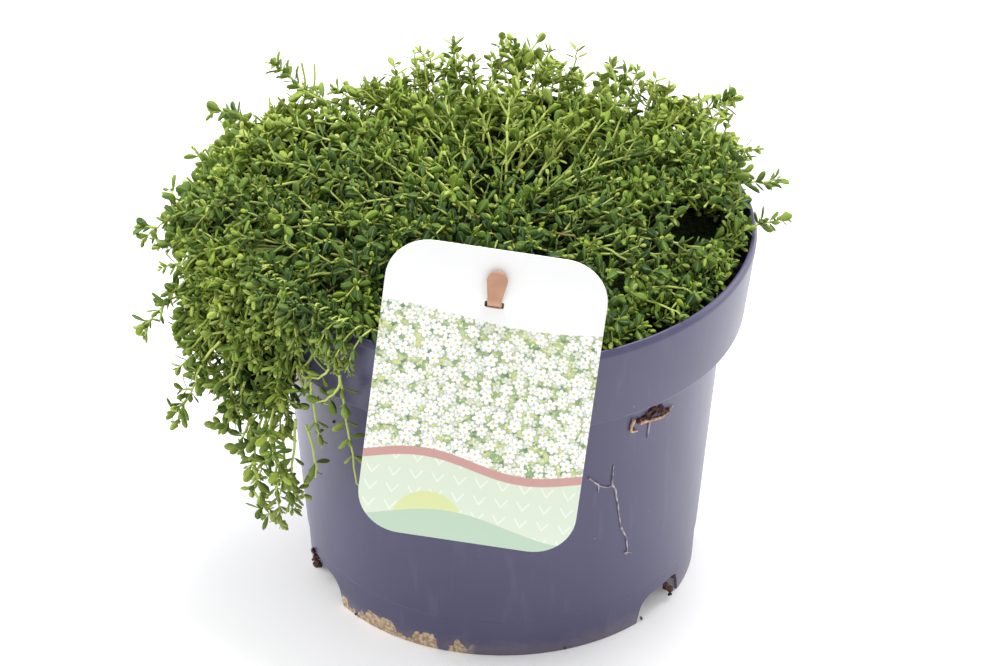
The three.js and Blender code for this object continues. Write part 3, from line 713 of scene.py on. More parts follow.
def leaf(name, rows, width, fold, curl):
    """A leaf one unit long, as a closed lens: rows are (along, share of the width) to its tip."""
    points = [(0, 0, 0, 0, 0, 0)]
    faces = []
    for along, share in rows:
        half = width / 2 * share
        up = curl * along * along
        edge = up + fold * share
        points += [
            (along, half, edge, 1, along, 0),
            (along, 0, up + 0.02, 0, along, 1),
            (along, -half, edge, -1, along, 0),
            (along, 0, up - 0.035, 0, along, -1),
        ]
    points.append((1, 0, curl, 0, 1, 0))
    last = len(points) - 1
    for i in range(4):
        j = (i + 1) % 4
        faces.append((0, 1 + j, 1 + i))
        for low in range(1, last - 4, 4):
            faces.append((low + i, low + j, low + 4 + j, low + 4 + i))
        faces.append((last, last - 4 + i, last - 4 + j))
    mesh = shape(name, [p[:3] for p in points], faces)
    blade = mesh.attributes.new("blade", "FLOAT_VECTOR", "POINT")
    blade.data.foreach_set("vector", [number for p in points for number in p[3:]])
    mesh.shade_smooth()
    return bpy.data.objects.new(name, mesh)


broad_leaves = [
    leaf("leaf_flat", BROAD_ROWS, width=0.5, fold=0.03, curl=-0.06),
    leaf("leaf_folded", BROAD_ROWS, width=0.45, fold=0.1, curl=0.1),
    leaf("leaf_arched", BROAD_ROWS, width=0.52, fold=-0.03, curl=-0.2),
]
small_leaves = [
    leaf("leaf_young", SMALL_ROWS, width=0.5, fold=0.06, curl=0.1),
    leaf("leaf_slim", SMALL_ROWS, width=0.44, fold=0.04, curl=-0.1),
]


class Stems:
    """Stems as chains of points, with what the leaves need to know at each point."""

    MARKS = ("along", "turn", "leafy", "tufted", "size", "tone", "run")

    def __init__(self, seed, gap=GAP_RADIUS):
        self.chance = random.Random(seed)
        self.gap = gap
        self.points = []
        self.edges = []
        self.marks = {mark: [] for mark in self.MARKS}

    def grow(self, root, way, tip, pairs, tone, bare=0.2, size=0.95, sway=0.3, tufts=1.0, bends=2):
        """A stem bent past way, bare over its first share, clear of the label and the gap."""
        chance = self.chance
        left, right, front = LABEL_CLEAR.values()
        if any(p.y < front and left < p.x < right for p in (way, tip)):
            return
        reach = root.xy.length
        if root.z < RIM_HEIGHT + 1 and LIP_FROM < reach < LIP_TO:
            clear = (LIP_TO if way.xy.length > LIP_TO - 2 else LIP_FROM) / reach
            root = Vector((root.x * clear, root.y * clear, root.z))
        bend = 2 * way - (root + tip) / 2
        twist = chance.uniform(0, math.pi)
        # A stem's tone sets how light its leaves and stem are painted: a random spread, which also
        # carries painted light where the stem lies at the back, over the rim or in the curtain.
        colour = chance.uniform(*tone)
        steps = bends * pairs
        start = len(self.points)
        chain = []
        for k in range(steps + 1):
            t = 1 - (1 - k / steps) ** TIP_CROWDING
            drift = Vector([chance.uniform(-sway, sway) for _ in range(3)]) * min(1.0, 4 * t)
            chain.append(bent(root, bend, tip, t) + drift)
        if min(gap_distance(point) for point in chain[1:]) < self.gap:
            return
        for k, point in enumerate(chain):
            ahead = chain[min(k + 1, steps)] - chain[max(k - 1, 0)]
            at_lip = point.z < LIP_BARE_UNDER and LIP_BARE_FROM < point.xy.length < LIP_TO
            paired = k % bends == 0 and k / steps >= bare and not at_lip
            turn = twist + (k // bends) * math.pi / 2 + chance.uniform(-PAIR_SWING, PAIR_SWING)
            tufted = paired and chance.random() < tufts
            run = ahead.normalized()
            values = (k / steps, turn, float(paired), float(tufted), size, colour, run)
            for mark, value in zip(self.marks.values(), values):
                mark.append(value)
            self.points.append(point)
        self.edges += [(start + k, start + k + 1) for k in range(steps)]

    def mesh(self, name):
        mesh = bpy.data.meshes.new(name)
        mesh.from_pydata([tuple(p) for p in self.points], self.edges, [])
        for mark, values in self.marks.items():
            kind, field = ("FLOAT_VECTOR", "vector") if mark == "run" else ("FLOAT", "value")
            flat = [number for v in values for number in v] if mark == "run" else values
            mesh.attributes.new(mark, kind, "POINT").data.foreach_set(field, flat)
        return mesh


paint = Paint("thyme leaf")
aside, along, side = paint.split(paint.attribute("blade", "Vector"))
place = paint.place()
mottle = paint.speckle(place, 1.6)
clump = paint.speckle(place, 22, 1)
# How light a leaf is painted: a random tint, its stem's tone, which carries painted light at the
# back and over the rim, and its place along the stem, where the darker lower leaves are partly
# older and partly painted shade deep in the bush.
youth_and_depth_shade = paint.attribute("along") ** 3
tone_and_painted_light = paint.attribute("tint") * 0.22 + paint.attribute("tone") * 0.38
tone_and_painted_light = tone_and_painted_light + youth_and_depth_shade * 0.72 + clump * 0.2
midrib = aside.do("ABSOLUTE").rise(0.22, 0.06) * along.rise(1.0, 0.7)
green = paint.coats(
    (0.025, 0.06, 0.014),
    (tone_and_painted_light.rise(0.3, 0.65), (0.105, 0.19, 0.022)),
    (tone_and_painted_light.rise(0.6, 1.0), (0.33, 0.44, 0.045)),
    (tone_and_painted_light.rise(0.9, 1.4) * 0.8, (0.52, 0.59, 0.18)),
    (mottle.rise(0.4, 0.7) * 0.2, (0.13, 0.22, 0.05)),
    (midrib * 0.45, (0.3, 0.42, 0.12)),
    (along.rise(0.3, 0.05) * 0.6, (0.3, 0.38, 0.07)),
    (side.rise(0.0, -0.4) * 0.4, (0.18, 0.25, 0.08)),
)
leaf_finish = paint.wear(
    base_color=green,
    roughness=0.5 + mottle * 0.15,
    specular_ior_level=0.22,
    normal=paint.relief(midrib * -1.0 + mottle * 0.4, 0.12),
)
paint = Paint("wiry thyme stem")
# Stems are greener towards their tips, as young growth, and where their tone carries painted light
# from behind.
youth_and_painted_light = (paint.attribute("along") + paint.attribute("tone") * 0.7).rise(0.1, 0.5)
streak = paint.speckle(paint.place(), 1.2)
bark = paint.coats(
    (0.19, 0.13, 0.05),
    (youth_and_painted_light, (0.46, 0.55, 0.12)),
    (streak.rise(0.5, 0.75) * 0.4, (0.58, 0.63, 0.26)),
)
stem_finish = paint.wear(
    base_color=bark, roughness=0.6, specular_ior_level=0.35, normal=paint.relief(streak, 0.1)
)


def leafing():
    """Geometry Nodes that put leaves and a thickness on bare stems."""
    tree = bpy.data.node_groups.new("leafy stems", "GeometryNodeTree")
    sockets = {
        "Stems": "NodeSocketGeometry",
        "Leaf length": "NodeSocketFloat",
        "Leaf rise": "NodeSocketFloat",
        "Tip rise": "NodeSocketFloat",
        "Stem radius": "NodeSocketFloat",
        "Seed": "NodeSocketInt",
    }
    inputs = {
        name: tree.interface.new_socket(name, in_out="INPUT", socket_type=kind).identifier
        for name, kind in sockets.items()
    }
    tree.interface.new_socket("Geometry", in_out="OUTPUT", socket_type="NodeSocketGeometry")
    nodes = Nodes(tree)
    group = nodes.add("NodeGroupInput")
    stems, length, rise, tip_rise, radius, seed = (group.also(name) for name in sockets)

    def mark(name, kind="FLOAT"):
        return nodes.add("GeometryNodeInputNamedAttribute", {"data_type": kind}, {"Name": name})

    def chance(low, high, salt, kind="FLOAT"):
        limits = {"Min": low, "Max": high, "Seed": seed + salt}
        return nodes.add("FunctionNodeRandomValue", {"data_type": kind}, limits)

    def merged(*layers):
        return nodes.add("GeometryNodeJoinGeometry", {}, {0: list(layers)})

    def instanced(one):
        one = nodes.add("GeometryNodeObjectInfo", {}, {"Object": one, "As Instance": True})
        return one.also("Geometry")

    def finished(geometry, finish):
        sockets = {"Geometry": geometry, "Material": finish}
        return nodes.add("GeometryNodeSetMaterial", {}, sockets)

    along = mark("along")
    run = {"Vector": mark("run", "FLOAT_VECTOR")}
    base = nodes.add("FunctionNodeAlignRotationToVector", {"axis": "Z"}, run)
    layers = []
    pairs = (broad_leaves, "leafy", 1.0, 0.0, 0.0)
    tufts = (small_leaves, "tufted", TUFT_SIZE, TUFT_LIFT, math.pi / 2)
    for leaves, where, share, lift, quarter in (pairs, tufts):
        kinds = merged(*(instanced(one) for one in leaves))
        for half in (0, 1):
            salt = len(layers) * 10
            up = rise + lift + chance(-RISE_SWING, RISE_SWING, salt)
            up = up + (tip_rise - rise) * along**4
            turn = mark("turn") + quarter + half * math.pi
            turn = turn + chance(-LEAF_SWING, LEAF_SWING, salt + 1)
            roll = chance(-LEAF_SWING, LEAF_SWING, salt + 2)
            euler = nodes.add("ShaderNodeCombineXYZ", {}, {0: roll, 1: 0 - up, 2: turn})
            about = nodes.add("FunctionNodeEulerToRotation", {}, {0: euler})
            local = {"rotation_space": "LOCAL"}
            size = length * mark("size") * share * chance(*LEAF_SIZES, salt + 3)
            put_on = {
                "Points": stems,
                "Selection": mark(where).do("GREATER_THAN", 0.5),
                "Instance": kinds,
                "Pick Instance": True,
                "Instance Index": chance(0, len(leaves) - 1, salt + 4, "INT"),
                "Rotation": nodes.add("FunctionNodeRotateRotation", local, {0: base, 1: about}),
                "Scale": size * (1 - 0.5 * along**5),
            }
            layer = nodes.add("GeometryNodeInstanceOnPoints", {}, put_on)
            tint = {"Geometry": layer, "Name": "tint", "Value": chance(0.0, 1.0, salt + 5)}
            stored = {"data_type": "FLOAT", "domain": "INSTANCE"}
            layers.append(nodes.add("GeometryNodeStoreNamedAttribute", stored, tint))
    foliage = nodes.add("GeometryNodeRealizeInstances", {}, {0: merged(*layers)})
    lines = nodes.add("GeometryNodeMeshToCurve", {}, {"Mesh": stems})
    circle = {"Resolution": STEM_SIDES, "Radius": 1.0}
    ring = nodes.add("GeometryNodeCurvePrimitiveCircle", {}, circle)
    thick, taper = STEM_TAPER
    swept = {"Curve": lines, "Profile Curve": ring, "Scale": radius * (thick - along * taper)}
    stalks = nodes.add("GeometryNodeCurveToMesh", {}, swept | {"Fill Caps": True})
    whole = merged(finished(foliage, leaf_finish), finished(stalks, stem_finish))
    nodes.add("NodeGroupOutput", {}, {"Geometry": whole})
    return tree, inputs


leafy_tree, leafy_inputs = leafing()


def leafy(name, stems, slot="leaf", nodes=("thyme_mat",), **sizes):
    """Grows the leaves of a group of stems and puts them in place as one piece."""
    thing = bpy.data.objects.new(name, stems.mesh(name))
    growth = thing.modifiers.new("leaves", "NODES")
    growth.node_group = leafy_tree
    for given, number in sizes.items():
        growth[leafy_inputs[given.replace("_", " ").capitalize()]] = number
    put(name, solid(name, thing, sharp=0), None, slot, *nodes)


# Bush shoots
# The body of the bush is some hundreds of short shoots, rooted in the thatch and leaning out, their
# leaves painted dark at the front and lighter at the back and over the rim, as painted light.
# They stand so close that only their leafy ends show, between and under the paler young growth.
SHOOTS = {"crown": 400, "rim": 330, "spilt": 210}
SHOOT_LENGTH = 20
SHOOT_SUNK = 7.5
RIM_AZIMUTHS = (-140, 20)
RIM_ACROSS = (0.8, 1.0)
RIM_ABOVE_LIP = (-2.5, 3)
THINNED_FROM = 0.8
THINNED = 0.45
SPILL_CROWDING = 2.6
SPILL_PROUD = 2.4
LIP_SHOOTS = 70
LIP_AZIMUTHS = (200, 262)
LIP_ROOTS = (80, 87)
LIP_CROSSING = (95, 98)
LIP_TIPS = (98, 103)
LOBE_BACK_SHOOTS = 80
LOBE_BACK_AZIMUTHS = (158, 206)
LOBE_BACK_INSIDE = 101
PALE_TUFTS = [
    (-37, 70, 178), (-28, 70, 179), (-14, 72, 176), (22, 72, 177), (54, 62, 174),
    (62, 60, 171), (70, 58, 168), (80, 54, 165), (86, 48, 158),
    (-84, 52, 160), (-91, 38, 165), (-101, 21, 157), (-108, 4, 149),
]
TUFT_SHOOTS = 7
TUFT_DEPTH = 24
shoots = {"back": Stems(21), "front": Stems(22), "spill": Stems(23)}
chance = random.Random(20)


def backwards(azimuth):
    """How far an azimuth lies behind the pot's middle, from -1 at the front to 1."""
    return math.sin(math.radians(azimuth))


def shoot_place(i, kind):
    """Where a shoot stands: azimuth, across, how proud, its group, and if it leans to the back."""
    azimuth = chance.uniform(0, 360)
    across = math.sqrt(chance.uniform(0, 1.0)) * 1.01
    if kind != "crown":
        azimuth = chance.uniform(*RIM_AZIMUTHS)
        across = chance.uniform(*RIM_ACROSS)
    group = "back" if backwards(azimuth) > 0 else "front"
    if group == "back" and across > THINNED_FROM and chance.random() < THINNED:
        return None
    if kind != "spilt":
        return azimuth, across, 1.0, group, False
    to_back = i % 3 == 0
    azimuth = SPILL["centre"] + chance.uniform(-0.7, 0.0 if to_back else 1.0) * SPILL["half"]
    across = 1 + chance.uniform(0.3 if to_back else -0.08, 0.85)
    proud = (1 + 4 * max(0, across - 1)) * (SPILL_PROUD if i % 4 == 1 else 1)
    if chance.random() > SPILL_CROWDING * bump(azimuth, **SPILL) * dense(azimuth):
        return None
    return azimuth, across, proud, "spill", to_back


for i, kind in enumerate(kind for kind, count in SHOOTS.items() for _ in range(count)):
    spot = shoot_place(i, kind)
    if not spot:
        continue
    azimuth, across, proud, group, to_back = spot
    normal, run, around = envelope_frame(azimuth, across)
    off_centre = min(1, 2.5 * across)
    sideways = around * (chance.uniform(-1.8, -0.5) if to_back else chance.uniform(-0.6, 0.6))
    forwards = run * chance.uniform(0.05, 0.75) * off_centre
    lean = (normal * chance.uniform(0.55, 1.0) + forwards + sideways).normalized()
    length = SHOOT_LENGTH * chance.uniform(0.8, 1.2)
    tip = envelope(azimuth, across) + normal * (proud - (SHOOT_SUNK + proud) * chance.random())
    if to_back:
        tip -= around * chance.uniform(0, 8)
    if kind == "rim":
        tip.z = max(tip.z, RIM_HEIGHT + chance.uniform(*RIM_ABOVE_LIP))
    root = tip - lean * length - run * length * 0.25 * off_centre + normal * length * 0.1
    way = tip - lean * length * 0.5 - normal * 1.2
    far = backwards(azimuth)
    # Painted light: shoots at the back, lit from behind, and those over the rim get a lighter tone,
    # and those at the front a darker one.
    youth_and_painted_light = (max(0.8 * far, 1.8 * far) + 0.1) * min(across, 1) ** 2 + 0.5 * max(0, across - 1)
    tone = (youth_and_painted_light - 0.1, youth_and_painted_light + 0.65)
    size = chance.uniform(0.8, 1.12)
    shoots[group].grow(root, way, tip, pairs=4, tone=tone, bare=0.25, size=size, tufts=0.55)
# Shoots that are rooted inside the lip and bend over it.
for _ in range(LIP_SHOOTS):
    azimuth = chance.uniform(*LIP_AZIMUTHS)
    radial = at(azimuth, 1)
    around = Vector((-radial.y, radial.x, 0))
    tip = at(azimuth, chance.uniform(*LIP_TIPS), RIM_HEIGHT - chance.uniform(-1, 13))
    root = at(azimuth, chance.uniform(*LIP_ROOTS), RIM_HEIGHT - 4)
    way = at(azimuth, chance.uniform(*LIP_CROSSING), RIM_HEIGHT + chance.uniform(4, 8))
    tip += around * chance.uniform(-7, 7)
    size = chance.uniform(0.75, 0.95)
    shoots["spill"].grow(root, way, tip, pairs=5, tone=(0.2, 1.1), bare=0.05, size=size)
# Shoots that cover the end of the lobe where it turns towards the back.
for _ in range(LOBE_BACK_SHOOTS):
    azimuth = chance.uniform(*LOBE_BACK_AZIMUTHS)
    across = 1 + chance.uniform(0.2, 0.9)
    normal, _, around = envelope_frame(azimuth, across)
    root = envelope(azimuth, across) - normal * chance.uniform(10, 17)
    tip = root - around * chance.uniform(9, 17) - Vector((0, 0, chance.uniform(1, 9)))
    root, tip = (p * max(1.0, LOBE_BACK_INSIDE / p.xy.length) for p in (root, tip))
    way = (root + tip) / 2 + normal * 2
    habit = {"bare": 0.1, "size": chance.uniform(0.85, 1.1), "tufts": 0.5}
    shoots["spill"].grow(root, way, tip, pairs=4, tone=(0.0, 0.9), **habit)
# Tufts of shoots which make the peaks of the far edge, painted palest, as painted light from
# behind.
for place in PALE_TUFTS:
    for _ in range(TUFT_SHOOTS):
        spread = (chance.uniform(-7, 7), chance.uniform(-5, 5), chance.uniform(-11, 1))
        tip = Vector(place) + Vector(spread)
        root = Vector((tip.x * 0.84, tip.y * 0.84, tip.z - TUFT_DEPTH))
        way = (root + tip) / 2 + Vector((tip.x * 0.03, tip.y * 0.03, 2))
        habit = {"bare": 0.3, "size": chance.uniform(0.8, 1.0), "tufts": 0.35}
        shoots["back"].grow(root, way, tip, pairs=5, tone=(0.9, 1.7), **habit)
SHOOT_LEAVES = {"leaf_length": 7.3, "leaf_rise": 0.45, "stem_radius": 0.42}
for name, stems in shoots.items():
    leafy("bush_shoots_" + name, stems, tip_rise=0.8, seed=5, **SHOOT_LEAVES)

# Runners
# Long pale stems creep out from the crown over the top of the bush, with their leaves well apart.
# At most joints they put up a short side shoot, which turns to the light and ends in a rosette. The
# longest lie on top, and are given singly by root, a point on the way and tip.
RUNNERS = 110
RUNNER_JOINT = 6.6
LONG_RUNNERS = [
    ((-1, 23, 158), (16, 33, 168), (37, 49, 169)),
    ((35, 18, 157), (41, 20, 165), (56, 42, 166)),
    ((23, -20, 156), (37, -8, 163), (57, 3, 163)),
    ((26, -17, 155), (51, -10, 162), (77, 8, 160)),
    ((35, -11, 155), (58, -11, 161), (81, -9, 158)),
    ((59, 24, 156), (69, 25, 163), (84, 32, 161)),
    ((23, -34, 152), (36, -36, 159), (48, -32, 159)),
    ((22, -33, 153), (41, -39, 158), (60, -36, 156)),
    ((32, -39, 151), (41, -48, 156), (52, -50, 154)),
    ((38, -54, 147), (51, -60, 152), (64, -65, 149)),
    ((51, -26, 152), (69, -24, 156), (90, -13, 155)),
    ((-39, 28, 159), (-27, 2, 166), (-12, -22, 165)),
    ((-66, 56, 160), (-50, 25, 167), (-39, 10, 167)),
    ((-13, 18, 159), (-20, 38, 168), (-24, 58, 170)),
    ((-68, -9, 153), (-53, -23, 161), (-38, -27, 162)),
    ((-76, 10, 158), (-91, 0, 161), (-108, 3, 155)),
]
runners = Stems(31)
rosettes = {"back": Stems(32), "front": Stems(33)}
chance = random.Random(30)


def measured(line, joint):
    """A stem's root, point on the way and tip, and how many joints of a length it takes."""
    root, way, tip = (Vector(p) for p in line)
    return root, way, tip, round(((way - root).length + (tip - way).length) / joint)


def crept(azimuth, start, finish, turning, sunk, way_proud, tip_proud):
    """A stem that creeps over the bush as measured() gives one, and the normal under it."""
    turned = azimuth + chance.uniform(*turning)
    middle = (start + finish) / 2
    normal, _, _ = envelope_frame(azimuth, middle)
    root = envelope(azimuth, start) - normal * sunk
    way = envelope((azimuth + turned) / 2, middle) + normal * chance.uniform(*way_proud)
    tip = envelope(turned, finish) + normal * chance.uniform(*tip_proud)
    return (root, way, tip, max(4, round((tip - root).length / RUNNER_JOINT))), normal


def side_shoots(stems, root, way, tip, joints, normal, reach, share, tone):
    """Short shoots that rise from a share of the joints of a longer stem."""
    bend = 2 * way - (root + tip) / 2
    run = (tip - root).normalized()
    for k in range(1, joints):
        if chance.random() > share:
            continue
        t = k / joints
        foot = bent(root, bend, tip, t)
        aside = run.cross(normal) * (1 if k % 2 else -1) * chance.uniform(0.3, 1.0)
        lean = (normal * chance.uniform(0.3, 1.0) + run * 0.8 + aside).normalized()
        end = foot + lean * reach * chance.uniform(0.6, 1.3) * (1.2 - 0.6 * t)
        habit = {"bare": 0.3, "size": chance.uniform(0.8, 1.0), "sway": 0.15, "tufts": 0.3}
        stems.grow(foot, (foot + end) / 2, end, pairs=3, tone=tone, bends=1, **habit)


for _ in range(RUNNERS):
    azimuth = chance.uniform(0, 360)
    start = chance.uniform(0.08, 0.75)
    finish = start + chance.uniform(34, 70) / MAT_RADIUS
    if bump(azimuth, **SPILL) < 0.3:
        finish = min(finish, chance.uniform(0.95, 1.0))
    proud = {"sunk": 11, "way_proud": (0.5, 4.0), "tip_proud": (1.0, 6.5)}
    stem, normal = crept(azimuth, start, finish, turning=(-14, 14), **proud)
    far = backwards(azimuth)
    # Painted light: runners and their rosettes at the back get a lighter tone than those at the
    # front.
    youth_and_painted_light = max(0.5 * far, 1.3 * far)
    tone = (0.35 + youth_and_painted_light, 0.85 + youth_and_painted_light)
    runners.grow(*stem, tone=tone, bare=0.12, sway=0.35, tufts=0.6)
    half = rosettes["back" if far > 0 else "front"]
    tone = (0.3 + youth_and_painted_light, 0.85 + youth_and_painted_light)
    side_shoots(half, *stem, normal, reach=10, share=0.65, tone=tone)
for line in LONG_RUNNERS:
    stem = measured(line, RUNNER_JOINT)
    runners.grow(*stem, tone=(0.9, 1.4), bare=0.1, size=0.85, tufts=0.3)
    side_shoots(rosettes["front"], *stem, Vector((0, 0, 1)), reach=7, share=0.5, tone=(0.7, 1.3))
RUNNER_LEAVES = {"leaf_rise": 0.55, "tip_rise": 0.95, "stem_radius": 0.5}
leafy("creeping_runners", runners, leaf_length=7.6, seed=6, **RUNNER_LEAVES)
for name, stems in rosettes.items():
    leafy("rosettes_" + name, stems, tip_rise=0.75, seed=7, **SHOOT_LEAVES)

# Curtain
# On the left the runners have grown over the rim and hang down the outside of the pot.
# They hang free of each other, so that light comes through between them near their ragged ends,
# which are given singly by root, a point on the way and tip.
HANGERS = 110
CURTAIN_ENDS = [
    ((-60, -79, 143), (-58, -80, 122), (-53, -80, 83)),
    ((-57, -84, 138), (-53, -85, 127), (-50, -86, 118)),
    ((-70, -73, 124), (-69, -73, 110), (-67, -74, 99)),
    ((-63, -80, 144), (-64, -78, 131), (-71, -72, 125)),
    ((-59, -82, 133), (-61, -81, 124), (-68, -74, 116)),
    ((-72, -72, 104), (-69, -72, 91), (-69, -71, 80)),
    ((-85, -61, 100), (-84, -60, 75), (-83, -59, 54)),
    ((-81, -66, 100), (-80, -65, 79), (-78, -66, 61)),
    ((-94, -53, 96), (-92, -54, 81), (-94, -52, 72)),
    ((-95, -56, 112), (-101, -46, 90), (-107, -38, 80)),
    ((-87, -60, 101), (-89, -56, 84), (-90, -55, 68)),
    ((-76, -70, 105), (-77, -67, 87), (-79, -65, 73)),
    ((-92, -54, 100), (-96, -50, 84), (-99, -44, 74)),
    ((-104, -50, 126), (-112, -46, 112), (-113, -44, 102)),
    ((-54, -84, 141), (-52, -85, 134), (-50, -86, 131)),
]
CURTAIN_JOINT = 6
hangers = Stems(41)
hanging_shoots = Stems(42)
chance = random.Random(40)
for _ in range(HANGERS):
    azimuth = CURTAIN["centre"] + chance.uniform(-1.0, 1.0) * CURTAIN["half"]
    if chance.random() > 1.6 * bump(azimuth, **CURTAIN) * (0.1 + 0.9 * dense(azimuth)):
        continue
    start = 1 + chance.uniform(-0.1, 0.5)
    finish = min(start + chance.uniform(0.3, 0.55), 1.9)
    proud = {"sunk": 7, "way_proud": (-4.0, 2.0), "tip_proud": (-5.0, 3.0)}
    stem, normal = crept(azimuth, start, finish, turning=(-6, 10), **proud)
    # Painted light: the hanging runners get a light tone, for light shining through their leaves
    # from behind.
    hangers.grow(*stem, tone=(0.8, 1.8), bare=0.15, sway=0.5, tufts=0.6)
    side_shoots(hanging_shoots, *stem, normal, reach=8, share=0.5, tone=(0.8, 1.8))
# Their ends are painted lighter still, as painted light from behind.
for line in CURTAIN_ENDS:
    *stem, joints = measured(line, CURTAIN_JOINT)
    hangers.grow(*stem, max(3, joints), tone=(1.0, 1.9), bare=0.3, sway=0.4, tufts=0.5)
for name, stems in (("hanging_runners", hangers), ("hanging_rosettes", hanging_shoots)):
    leafy(name, stems, leaf_length=6.8, seed=8, **RUNNER_LEAVES | {"leaf_rise": 0.6})

# Trailing sprigs
# The strongest young shoots reach clear of the bush all round, singly, against the light.
# Each is given by its root in the bush, a point on its way and its tip, in millimetres.
SPRIGS = [
    ((60, -19, 142), (86, -12, 150), (105, 1, 148)),
    ((58, 16, 146), (84, 20, 151), (101, 24, 149)),
    ((62, 40, 147), (81, 42, 152), (96, 42, 153)),
    ((60, 56, 147), (76, 62, 157), (87, 61, 163)),
    ((34, 62, 147), (39, 74, 160), (42, 81, 167)),
    ((6, 58, 148), (5, 72, 165), (4, 80, 178)),
    ((-18, 60, 148), (-19, 74, 164), (-19, 80, 177)),
    ((-60, 56, 150), (-76, 67, 163), (-88, 74, 171)),
    ((-84, 44, 149), (-100, 54, 159), (-111, 60, 158)),
    ((-100, 2, 141), (-118, 2, 148), (-134, 0, 139)),
    ((-102, -22, 131), (-121, -24, 129), (-134, -24, 112)),
    ((-99, -35, 113), (-113, -37, 100), (-122, -34, 79)),
    ((-81, -53, 113), (-92, -58, 80), (-83, -56, 48)),
    ((-78, -58, 119), (-85, -69, 96), (-73, -64, 66)),
]
SPRIG_JOINT = 5.6
SPRIG_CENTRE_HEIGHT = 60
sprigs = Stems(51, gap=0)
chance = random.Random(50)
for line in SPRIGS:
    stem = measured(line, SPRIG_JOINT)
    sprigs.grow(*stem, tone=(0.7, 1.6), size=1.0)
    outward = Vector((*stem[1].xy, SPRIG_CENTRE_HEIGHT)).normalized()
    side_shoots(sprigs, *stem, outward, reach=6, share=0.6, tone=(0.7, 1.6))
sprig_nodes = [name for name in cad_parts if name.startswith("trailing_stem")]
SPRIG_LEAVES = {"leaf_length": 6.9, "leaf_rise": 0.6, "tip_rise": 0.9, "stem_radius": 0.48}
leafy("trailing_sprigs", sprigs, "leaf_tip", sprig_nodes, seed=8, **SPRIG_LEAVES)
for one in broad_leaves + small_leaves:
    bpy.data.objects.remove(one)

# Label card
# A die-cut card of white plastic, printed on its front and slotted for the stake.
# The print is a generic one: a field of small white flowers, a wave of salmon, and a low lime sun,
# each placed across and up from the middle of the card.
CARD_WIDTH = 80
CARD_HEIGHT = 120
CARD_THICKNESS = 0.6
CARD_EDGE = 0.12
CARD_CORNER = 16.3
CARD_CENTRE = Vector((-7.5, -97.3, 133.6))
CARD_LEAN = math.radians(6.5)
CARD_TURN = math.radians(-4.8)
CARD_ROLL = math.radians(-6.2)
SLOT_WIDTH = 7
SLOT_HEIGHT = 2.6
SLOT_CORNER = 0.6
SLOT_ABOVE_CENTRE = 38
BEDS = [
    (4.6, 3.3, 0.75, (0.72, 0.76, 0.66)),
    (5.2, 7.9, 0.75, (0.86, 0.88, 0.82)),
    (5.8, 1.2, 0.7, (0.93, 0.94, 0.92)),
    (6.4, 5.1, 0.6, (0.96, 0.96, 0.95)),
]
BEDS_TOP = 32
WAVE_TOP = -26.5
WAVE_FOOT = -30
WAVE_SWING = 3.2
SUN_PLACE = (-14, -54)
SUN_RADIUS = 13
HILL_TOP = -52
HILL_SWING = 4
FRONDS_APART = (8.0, 7.0)
PRINT_EDGE = 0.15
card_frame = (
    Matrix.Translation(CARD_CENTRE)
    @ Matrix.Rotation(CARD_TURN, 4, "Z")
    @ Matrix.Rotation(math.pi / 2 - CARD_LEAN, 4, "X")
    @ Matrix.Rotation(CARD_ROLL, 4, "Z")
)


def arc_box(width, height, radius, up=0, steps=12):
    """A rectangle with round corners, as points across and up."""
    outline = []
    for k, (x, y) in enumerate(((1, 1), (-1, 1), (-1, -1), (1, -1))):
        centre = Vector((x * (width / 2 - radius), up + y * (height / 2 - radius)))
        outline += [centre + at(90 * (k + i / steps), radius).xy for i in range(steps + 1)]
    return outline


def plate(name, outlines, thickness, edge):
    """A flat plate inside the first outline, less the others, with a softened edge."""
    curve = bpy.data.curves.new(name, "CURVE")
    curve.dimensions = "2D"
    curve.fill_mode = "BOTH"
    curve.extrude = thickness / 2 - edge
    curve.bevel_depth = edge
    curve.bevel_resolution = 1
    curve.offset = -edge
    for outline in outlines:
        spline = curve.splines.new("POLY")
        spline.points.add(len(outline) - 1)
        spline.points.foreach_set("co", [n for p in outline for n in (p.x, p.y, 0, 1)])
        spline.use_cyclic_u = True
    return outwards(solid(name, curve, sharp=0), weld=0.001)


card_outline = arc_box(CARD_WIDTH, CARD_HEIGHT, CARD_CORNER)
slot_outline = arc_box(SLOT_WIDTH, SLOT_HEIGHT, SLOT_CORNER, SLOT_ABOVE_CENTRE, steps=4)
card = plate("card", [card_outline, slot_outline], CARD_THICKNESS, CARD_EDGE)
print_map = card.uv_layers.new(name="print")
for face in card.polygons:
    for corner in face.loop_indices:
        point = card.vertices[card.loops[corner].vertex_index].co
        printed = (point.x / CARD_WIDTH + 0.5, point.y / CARD_HEIGHT + 0.5)
        print_map.data[corner].uv = printed if face.normal.z > 0.5 else (0.5, 0.98)
card.transform(card_frame)


